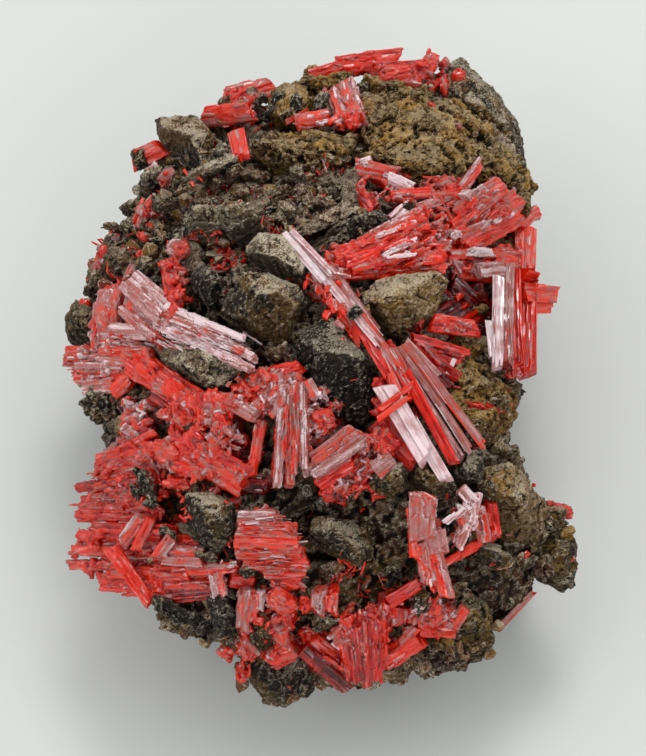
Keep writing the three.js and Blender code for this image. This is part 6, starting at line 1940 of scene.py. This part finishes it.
        ((13, -37, 2.2), (12.6, -40.6, 2.2), 3.6, 2.2, 0.36, {"block": 3.6, "fine": 1.2}),
    ], [
        ((7.6, -38.6, 3.4), (4, 1.5), 50, (0.8, 2.2), (0.4, 1), 0.5),
        ((4.6, -42.4, 4), (1.8, 2.4), 30, (0.8, 2), (0.4, 1), 0.62),
    ], []),
    "brown_plate": ("crocoite_pink", 0.7, 0.5, [
        ((17.4, -19.2, 5), (17.2, -27, 5.2), 3.5, 1.2,
         0.75, {"block": 3.5, "fine": 3.5, "spread": 0.02, "loose": 0.1}),
        ((19.2, -25, 4.6), (20, -29, 4.8), 2.8, 1.2,
         0.74, {"block": 2.8, "fine": 2.8, "spread": 0.02, "loose": 0.1}),
        ((17, -26.6, 3.8), (18.4, -34, 3.8), 2, 1.8, 0.72, {"fine": 0.4}),
        ((19, -28, 3.6), (21.4, -36.4, 3.6), 2.2, 1.8, 0.66),
        ((15.3, -21, 3.8), (15.8, -29.6, 3.8), 1.2, 1.2, 0.6),
    ], [((18, -31.6, 4), (2, 3), 26, (0.8, 2.4), (0.2, 0.7), 0.62,
        {"heading": -75, "wander": 20})], []),
    "right_druse": ("crocoite_pink", 0.76, 0.45, [
        ((23.4, -18.2, 4.6), (25.8, -20.8, 4.8), 1.8, 1.2, 0.92, {"block": 0.9}),
        ((25.6, -18.8, 4.4), (24.6, -24, 4.8), 2.4, 1.8, 0.82, {"block": 1.2}),
        ((20.8, -23.8, 4.8), (22.6, -22.4, 5), 1, 0.8, 0.97, {"block": 1}),
        ((22.6, -22.8, 4.8), (24.2, -21.4, 5), 0.9, 0.8, 0.97, {"block": 1}),
        ((24.4, -23.8, 4.4), (22.8, -27.6, 4.6), 1.9, 1.4, 0.8, {"block": 1.9}),
        ((26.6, -22, 4), (27.4, -27, 4.2), 2.2, 1.8, 0.68),
        ((28.4, -20.4, 2.8), (29.2, -26.4, 3.4), 1.9, 1.6, 0.4, {"block": 1.9}),
        ((20.4, -30.6, 2.4), (27, -26.8, 3), 1.4, 1.2, 0.5),
    ], [((25.2, -23.4, 4.4), (2.8, 4), 80, (0.6, 2), (0.3, 0.9), 0.78,
        {"heading": -70, "wander": 50})], []),
    "lower_wedge": ("crocoite_red", 0.55, 0.5, [
        ((11.6, -36.8, 2.6), (17, -33.6, 3), 1.8, 1.4, 0.42),
        ((22, -40.8, 2.6), (24.6, -37.6, 2.6), 2, 1.8, 0.66),
        ((17, -41, 2), (23, -41.4, 2.2), 2.4, 2, 0.5),
    ], [((19, -38.6, 3.4), (4, 2.4), 70, (0.7, 2), (0.3, 1.1), 0.6)],
        [((19, -38.8, 2.2), (6.4, 4.4, 3), 20, 0.56), ((15.4, -41.4, 2), (3, 2, 1.8), 0, 0.74)]),
    "right_edge_cap": ("crocoite_red", 0.5, 0.8, [
        ((38.6, -21.8, 1), (42.4, -22.8, 1), 1.8, 2.4, 0.44, {"block": 1.8}),
    ], [], [((40.6, -22, 1.4), (4, 2, 2), -8, 0.5), ((38.6, -21, 1), (1.5, 1.3, 1.3), 0, 0.6)]),
}


THINNEST_STRIP = 0.55
CRISP_CLUSTERS = ("long_lath_bundle", "right_columns", "small_left_slab")


def own_settings(own, **usual):
    """The usual settings with a row's own tint and settings laid over them."""
    for given in own:
        usual.update(given if isinstance(given, dict) else {"tint": given})
    return usual


def cluster_piece(name, seed):
    slot, tint, fine, prisms, jumbles, lumps = CLUSTERS[name]
    mass, crisp = Growth(seed), Growth(seed + 1)
    for foot, tip, wide, thick, *own in prisms:
        growth = crisp if name in CRISP_CLUSTERS else mass
        growth.bundle(on_face(*foot), on_face(*tip), wide, thick,
                      **own_settings(own, tint=tint, fine=fine))
    for centre, reach, count, long, wide, *own in jumbles:
        growth = mass if wide[1] > THINNEST_STRIP else crisp
        growth.jumble(centre, reach, count, long, wide, **own_settings(own, tint=tint))
    for centre, *shape in lumps:
        mass.lump(on_face(*centre), *shape)
    piece = grown_together(name + "_crystals", mass, crisp, CRYSTAL_FINISH[slot])
    return finished(piece, slot, "crocoite_" + name)


clusters = [cluster_piece(name, 11 + 7 * k) for k, name in enumerate(CLUSTERS)]
for piece in clusters:
    print(piece.name, "triangles:", triangles(piece))

# %% [markdown]
# ### Small crystals and threads
# Single small crystals, flecks and red threads lie all over the rubble. They aren't in the CAD,
# because they are far below its smallest solid, so they are one piece of their own.

# %% Small crystals
SMALL_PRISMS = [
    ((30, -41.4, -1.6), (36.2, -35, -1.4), 0.9, 1.6, 0.62, {"block": 1}),
    ((-13.4, 41, 4.2), (-12, 36.4, 4.2), 2.6, 1.4, 0.57, {"block": 2.6}),
    ((-11.4, 40.6, 4.4), (-9.6, 41.4, 4), 1, 0.8, 0.6),
    ((-5, 42.4, 3), (-1, 44.6, 3.4), 0.8, 0.7, 0.6),
    ((0.4, 23.4, 3.6), (5.2, 25, 3.8), 1.8, 1.4, 0.76, {"block": 1.8}),
    ((1.4, 22.4, 3), (5.6, 23.4, 3), 1.2, 1.2, 0.4),
    ((21.4, 0.2, 2.4), (22.6, 2.8, 3.4), 0.7, 0.6, 0.97, {"block": 1}),
    ((19.8, -0.6, 2.4), (21, 1.4, 3.2), 0.5, 0.5, 0.95, {"block": 1}),
]
SMALL_JUMBLES = [
    ((27.4, -5.6, 2.4), (2.6, 1.2), 30, (0.7, 2.2), (0.25, 0.7), 0.55,
     {"heading": -20, "wander": 30}),
    ((27.6, -11.2, 1.2), (2.4, 0.8), 20, (0.7, 2), (0.3, 0.8), 0.26),
    ((29, -35.2, 2.4), (2.6, 0.9), 34, (0.6, 1.8), (0.3, 0.8), 0.64),
    ((41.2, -29.4, 0.6), (1.6, 1.2), 22, (0.6, 1.6), (0.3, 0.8), 0.64),
    ((-9.2, 30, 4), (2.6, 1.6), 50, (0.6, 1.8), (0.2, 0.6), 0.74),
    ((-17, 29.8, 3.6), (5, 3.4), 60, (0.6, 2.2), (0.12, 0.4), 0.44),
    ((-5, 26.6, 3.8), (4, 3), 60, (0.6, 2.2), (0.12, 0.4), 0.48),
    ((3, 31, 3.4), (4.4, 5), 90, (0.6, 2.4), (0.12, 0.4), 0.56),
    ((-1.4, 26, 3.8), (1.6, 3), 36, (0.6, 2.2), (0.15, 0.5), 0.57,
     {"heading": -100, "wander": 30}),
    ((-32, 20, 1.8), (6, 6), 90, (0.6, 2.6), (0.12, 0.45), 0.5),
    ((-33, 16.4, 1.8), (2, 1.6), 20, (0.6, 1.8), (0.3, 0.8), 0.56),
    ((-14.6, 19.2, 6), (2.8, 2.2), 50, (0.6, 1.6), (0.3, 0.9), 0.6),
    ((-19, 22, 3.4), (4, 2), 40, (0.5, 1.6), (0.15, 0.5), 0.5),
    ((-12, 43.4, 3), (6, 2.4), 50, (0.6, 2), (0.2, 0.6), 0.56),
    ((30, -8, 1.6), (5, 6), 60, (0.5, 1.8), (0.12, 0.5), 0.5),
    ((24, -28, 1.8), (9, 9), 110, (0.5, 1.8), (0.12, 0.5), 0.5),
    ((8, -33, 2), (8, 3.4), 90, (0.6, 2.2), (0.15, 0.6), 0.56),
    ((-15, -25, 2.4), (3, 6), 40, (0.5, 1.6), (0.15, 0.5), 0.5),
    ((-23, -22, 3), (4, 3), 50, (0.5, 1.8), (0.15, 0.6), 0.5),
    ((8, -16, 2.6), (5, 5), 70, (0.5, 1.8), (0.15, 0.6), 0.56),
    ((20, 30, 2.8), (5, 3), 40, (0.5, 1.8), (0.15, 0.6), 0.62),
    ((5, 12, 3), (3, 4), 30, (0.5, 1.8), (0.15, 0.5), 0.55),
    ((-4, -48, 0.4), (8, 3), 30, (0.5, 1.8), (0.15, 0.5), 0.45),
    ((0, 0, 2), (38, 48), 420, (0.4, 1.5), (0.1, 0.4), 0.52, {"lift": 2.2}),
]
SMALL_LUMPS = [
    ((34.4, -29.2, 1.6), (1.9, 1.4, 1.2), 20, 0.54),
    ((33.4, -32.2, 1.2), (1.5, 1.4, 1.2), 0, 0.64), ((23.8, 41.9, 3.4), (1.7, 1.3, 1), 0, 0.66),
    ((19.4, 45.3, 3), (1.6, 1.7, 1.2), 0, 0.62), ((17, 46.9, 2.6), (1.2, 1.6, 1), 0, 0.56),
    ((-26.8, 27.2, 1.8), (2.2, 1.8, 1.4), 30, 0.34),
    ((-16.2, 20.4, 5.2), (4.6, 3.6, 1.4), -20, 0.7),
    ((-34.8, 20.6, 1.2), (7.6, 4, 2.6), 62, 0.76), ((-28.4, 27.6, 2.4), (7, 3, 2.2), 58, 0.74),
    ((-31, 16.6, 2), (5, 3, 2), 70, 0.72), ((-20.6, 29, 4), (3.6, 1.6, 1.4), 65, 0.6),
    ((-25, 33.4, 2.2), (4, 2.4, 1.8), 50, 0.72), ((1.4, 26.4, 4.2), (3, 1.6, 1.4), 60, 0.76),
    ((-13.4, 18.7, 5.8), (3.2, 2.6, 1.8), 0, 0.66), ((35.8, -17.9, 1), (0.9, 0.8, 0.8), 0, 0.6),
    ((-28.6, 23, 2), (2.4, 1.4, 1.2), -40, 0.5), ((-38.6, 12.2, 0.4), (2.2, 2, 1.6), 0, 0.5),
    ((-8.4, 46.6, 2.6), (1.4, 1.6, 1.2), 60, 0.57),
]
THREADS = [
    [(-21.6, 34, 3.6), (-20.2, 31.6, 3.8), (-21.2, 29.4, 3.8), (-22.2, 26.8, 3)],
    [(-20.4, 33.6, 4), (-18.4, 32, 3.8), (-18.8, 29.6, 3.6)],
    [(-1.4, 27.6, 3.6), (-0.8, 25, 3.8), (-1.6, 23, 3.6)],
    [(0, 29.6, 3.8), (0.8, 27.4, 4), (2.4, 26.2, 3.8)],
    [(4.6, 36, 3.4), (6.4, 33.2, 3.4), (8.8, 31, 3)],
    [(-12.6, 36.4, 3.8), (-11.4, 33, 3.6), (-11.8, 31.4, 3.4)],
    [(-38.4, 16, 0), (-36.4, 20.4, 0.6), (-33.6, 24.8, 1)], [(-30, 26, 1.6), (-27.4, 24.8, 2)],
    [(24.6, -4, 2.6), (27.4, -6.2, 2.8), (29.4, -6.8, 2.6)],
]


# centre, reach, count, sizes, tint
BEDS = [
    ((-22, -9.5, 2.6), (10, 5), 60, (1.6, 4), 0.47), ((-29, -9, 1.2), (5, 6), 24, (1.4, 3.4), 0.6),
    ((-13, -15.5, 0), (6, 6), 34, (1.6, 4), 0.3), ((-31, -17, 0.6), (8, 4.6), 44, (1.6, 3.8), 0.46),
    ((-28, -29, 0.6), (12, 5.6), 70, (1.6, 4), 0.44), ((-16, -32, 1), (5, 3), 20, (1.4, 3), 0.52),
    ((-8, -4, 2.8), (8, 5), 50, (1.2, 3.2), 0.58), ((0.6, -9, 2), (5, 7), 40, (1.2, 3.2), 0.58),
    ((5, -15, 1.6), (6, 5), 40, (1.4, 3.4), 0.44), ((-7, -27, 1.6), (6, 5.6), 34, (1.4, 3.4), 0.5),
    ((-6, -38, 1.6), (6, 7), 50, (1.4, 3.6), 0.5), ((6, -44, 1.2), (9, 5.6), 60, (1.4, 3.6), 0.46),
    ((13, -39, 1.8), (5, 4), 26, (1.2, 3), 0.5), ((19, -39, 1.6), (5, 3.4), 26, (1.2, 3), 0.54),
    ((24, -23.6, 2.2), (4, 5), 30, (1.0, 2.6), 0.62), ((18, -29, 2), (3, 7), 24, (1.0, 2.6), 0.56),
    ((13, -3, 3), (4, 9), 40, (1.2, 3.2), 0.46), ((4, 12, 3.2), (3.4, 7), 34, (1.2, 3), 0.52),
    ((12, 19.6, 2), (10, 4.4), 70, (1.4, 3.6), 0.5), ((28, 24, 2), (7, 7), 60, (1.4, 3.8), 0.5),
    # The bed in the pocket at (25, 12) has the deepest tint, partly painted shade of the pocket.
    ((25, 12, -3), (5, 5), 24, (1.6, 3.6), 0.12), ((33, 8, 1), (4, 9), 34, (1.4, 3.4), 0.46),
    ((20, 5, 0.6), (6, 5), 34, (1.2, 3), 0.34), ((-31, 7, 1.6), (6, 7), 44, (1.4, 3.6), 0.62),
    ((-37, 2, -0.8), (5, 3), 20, (1.2, 3), 0.66), ((-23.4, 14, 3), (2.4, 7), 24, (1.4, 3), 0.46),
    ((-12, 45, 1.2), (7, 3), 26, (1.4, 3.2), 0.56), ((13, 50, 0), (9, 3), 30, (1.6, 3.6), 0.5),
    ((3, 45, 2.2), (5, 4), 20, (1.4, 3), 0.55), ((12, 31, 1.2), (6, 3), 26, (1.2, 2.8), 0.5),
    ((-34, 20, 0.6), (5, 6), 22, (1.0, 2.6), 0.42), ((-19, 22, 2.6), (6, 2.6), 16, (1.0, 2.4), 0.5),
]


def thread(growth, places, wide=0.35, tint=0.5):
    """Small splinters end to end along a crack."""
    draw = growth.draw
    for before, after in zip(places, places[1:]):
        start, end = on_face(*before), on_face(*after)
        steps = max(2, round((end - start).length / 0.9))
        for k in range(steps):
            loose = nudge(draw, 0.16)
            here = start.lerp(end, (k - 0.2) / steps) + loose
            there = start.lerp(end, (k + 1.3) / steps) + loose * 0.5
            growth.splinter(here, there, wide * draw.uniform(0.6, 1.8), wide,
                            tint + draw.gauss(0, 0.1))


# %% [markdown]
# ### Nothing hangs free
# Small bits are placed by chance, so some would touch nothing. This rule looks at each corner
# of every loose bit. The bit stays if one corner touches another piece, or if several lie
# just inside one.

# %% Rule that drops what floats
INSIDE_VOTE, VOTES_NEEDED = 0.34, 0.9
SHALLOW = 3.0             # how deep inside still counts, as a multiple of the reach


def seated_tree():
    tree, start, end = group_tree("Drop what floats", "GeometryNodeTree", {
        "Geometry": "Geometry", "Others": "Collection", "Reach": 0.0002},
        {"Geometry": "Geometry"})
    shelf = add(tree, "GeometryNodeCollectionInfo", None,
                {"Collection": start.outputs["Others"]}).outputs[0]
    others = add(tree, "GeometryNodeRealizeInstances", None, {"Geometry": shelf}).outputs[0]
    place = tree.nodes.new("GeometryNodeInputPosition").outputs[0]
    facing = tree.nodes.new("GeometryNodeInputNormal").outputs[0]
    near, outside = [add(tree, "GeometryNodeSampleNearestSurface", {"data_type": "FLOAT_VECTOR"},
                         {"Mesh": others, "Value": value}).outputs["Value"]
                     for value in (place, facing)]
    away = vectors(tree, "SUBTRACT", place, near)
    gap = vectors(tree, "LENGTH", away)
    touching = maths(tree, "LESS_THAN", gap, start.outputs["Reach"])
    inside = maths(tree, "LESS_THAN", vectors(tree, "DOT_PRODUCT", away, outside), 0.0)
    shallow = maths(tree, "LESS_THAN", gap,
                    maths(tree, "MULTIPLY", start.outputs["Reach"], SHALLOW))
    inside = maths(tree, "MULTIPLY", inside, shallow)
    held = maths(tree, "ADD", touching, maths(tree, "MULTIPLY", inside, INSIDE_VOTE))
    island = tree.nodes.new("GeometryNodeInputMeshIsland").outputs["Island Index"]
    total = add(tree, "GeometryNodeAccumulateField", None,
                {"Value": held, "Group ID": island}).outputs["Total"]
    kept = add(tree, "GeometryNodeDeleteGeometry", None, {
        "Geometry": start.outputs["Geometry"],
        "Selection": maths(tree, "LESS_THAN", total, VOTES_NEEDED)})
    tree.links.new(kept.outputs[0], end.inputs[0])
    return tree


SEATED = seated_tree()


def seated(piece):
    """The piece without the bits that touch nothing else on the object."""
    shelf = bpy.data.collections.new("others")
    aside = [piece, *frame["nodes"].values()]
    for other in list(bpy.context.scene.objects):
        if other.type == "MESH" and other not in aside:
            shelf.objects.link(other)
    before = len(piece.data.polygons)
    run_rule(piece, SEATED, Others=shelf)
    bpy.data.collections.remove(shelf)
    print(piece.name, "faces:", before, "of which kept:", len(piece.data.polygons))
    return piece


def small_crystals():
    growth = Growth(5)
    for foot, tip, wide, thick, *own in SMALL_PRISMS:
        growth.bundle(on_face(*foot), on_face(*tip), wide, thick, **own_settings(own))
    for centre, reach, count, long, wide, *own in SMALL_JUMBLES:
        growth.jumble(centre, reach, count, long, wide, **own_settings(own))
    for centre, size, heading, tint in SMALL_LUMPS:
        growth.lump(on_face(*centre), size, heading, tint)
    for places in THREADS:
        thread(growth, places)
    mesh = growth.mesh("small crystals", CRYSTAL_FINISH["crocoite_red"])
    return finished(seated(link_object("small_crystals", mesh)), "crocoite_red")


SMALL = small_crystals()
print("small crystals:", len(SMALL.data.polygons), "faces")

# %% [markdown]
# ### Beds of crystal
# Under the big crystals the hollows are lined with crystal too, so little rock shows between
# them. The beds are four pieces, each of a quarter of the list.

# %% Beds
def bed_piece(name, beds, seed):
    strips = Growth(seed)
    for centre, reach, count, size, tint in beds:
        strips.bed(centre, reach, count, size, tint)
    piece = grown_together(name, strips, Growth(seed), CRYSTAL_FINISH["crocoite_red"],
                           voxel=0.00034)
    return finished(piece, "crocoite_red")


for k in range(4):
    piece = bed_piece(f"crystal_bed_{k + 1}", BEDS[k::4], 51 + k)
    print(piece.name, "triangles:", triangles(piece))

# %% [markdown]
# ### Finish the heaps
# All other pieces stand now, so the heaps can be cleared of stones that touch none of them.

# %% Heaps without loose stones
HEAP_PIECE = finished(seated(HEAP_PIECE), "gossan")
print("heap triangles:", triangles(HEAP_PIECE))

# %% [markdown]
# ## The table
# The lump stands on a large pale top. It belongs to the stage, not to the part.

# %% Floor
def table_top():
    size = 3.0
    mesh = bpy.data.meshes.new("table top")
    mesh.from_pydata([(-size, -size, 0), (size, -size, 0), (size, size, 0), (-size, size, 0)], [],
                     [(0, 1, 2, 3)])
    material, tree, shader = shader_material("pale table")
    place = tree.nodes.new("ShaderNodeTexCoord").outputs["Object"]
    cloud = cloudy(tree, place, 14.0, 5.0)
    tree.links.new(mixed(tree, cloud, (0.52, 0.52, 0.497, 1), (0.58, 0.585, 0.567, 1)),
                   shader.inputs["Base Color"])
    shader.inputs["Roughness"].default_value = 0.5
    mesh.materials.append(material)
    top = link_object("table_top", mesh)


table_top()
print("table top ready")
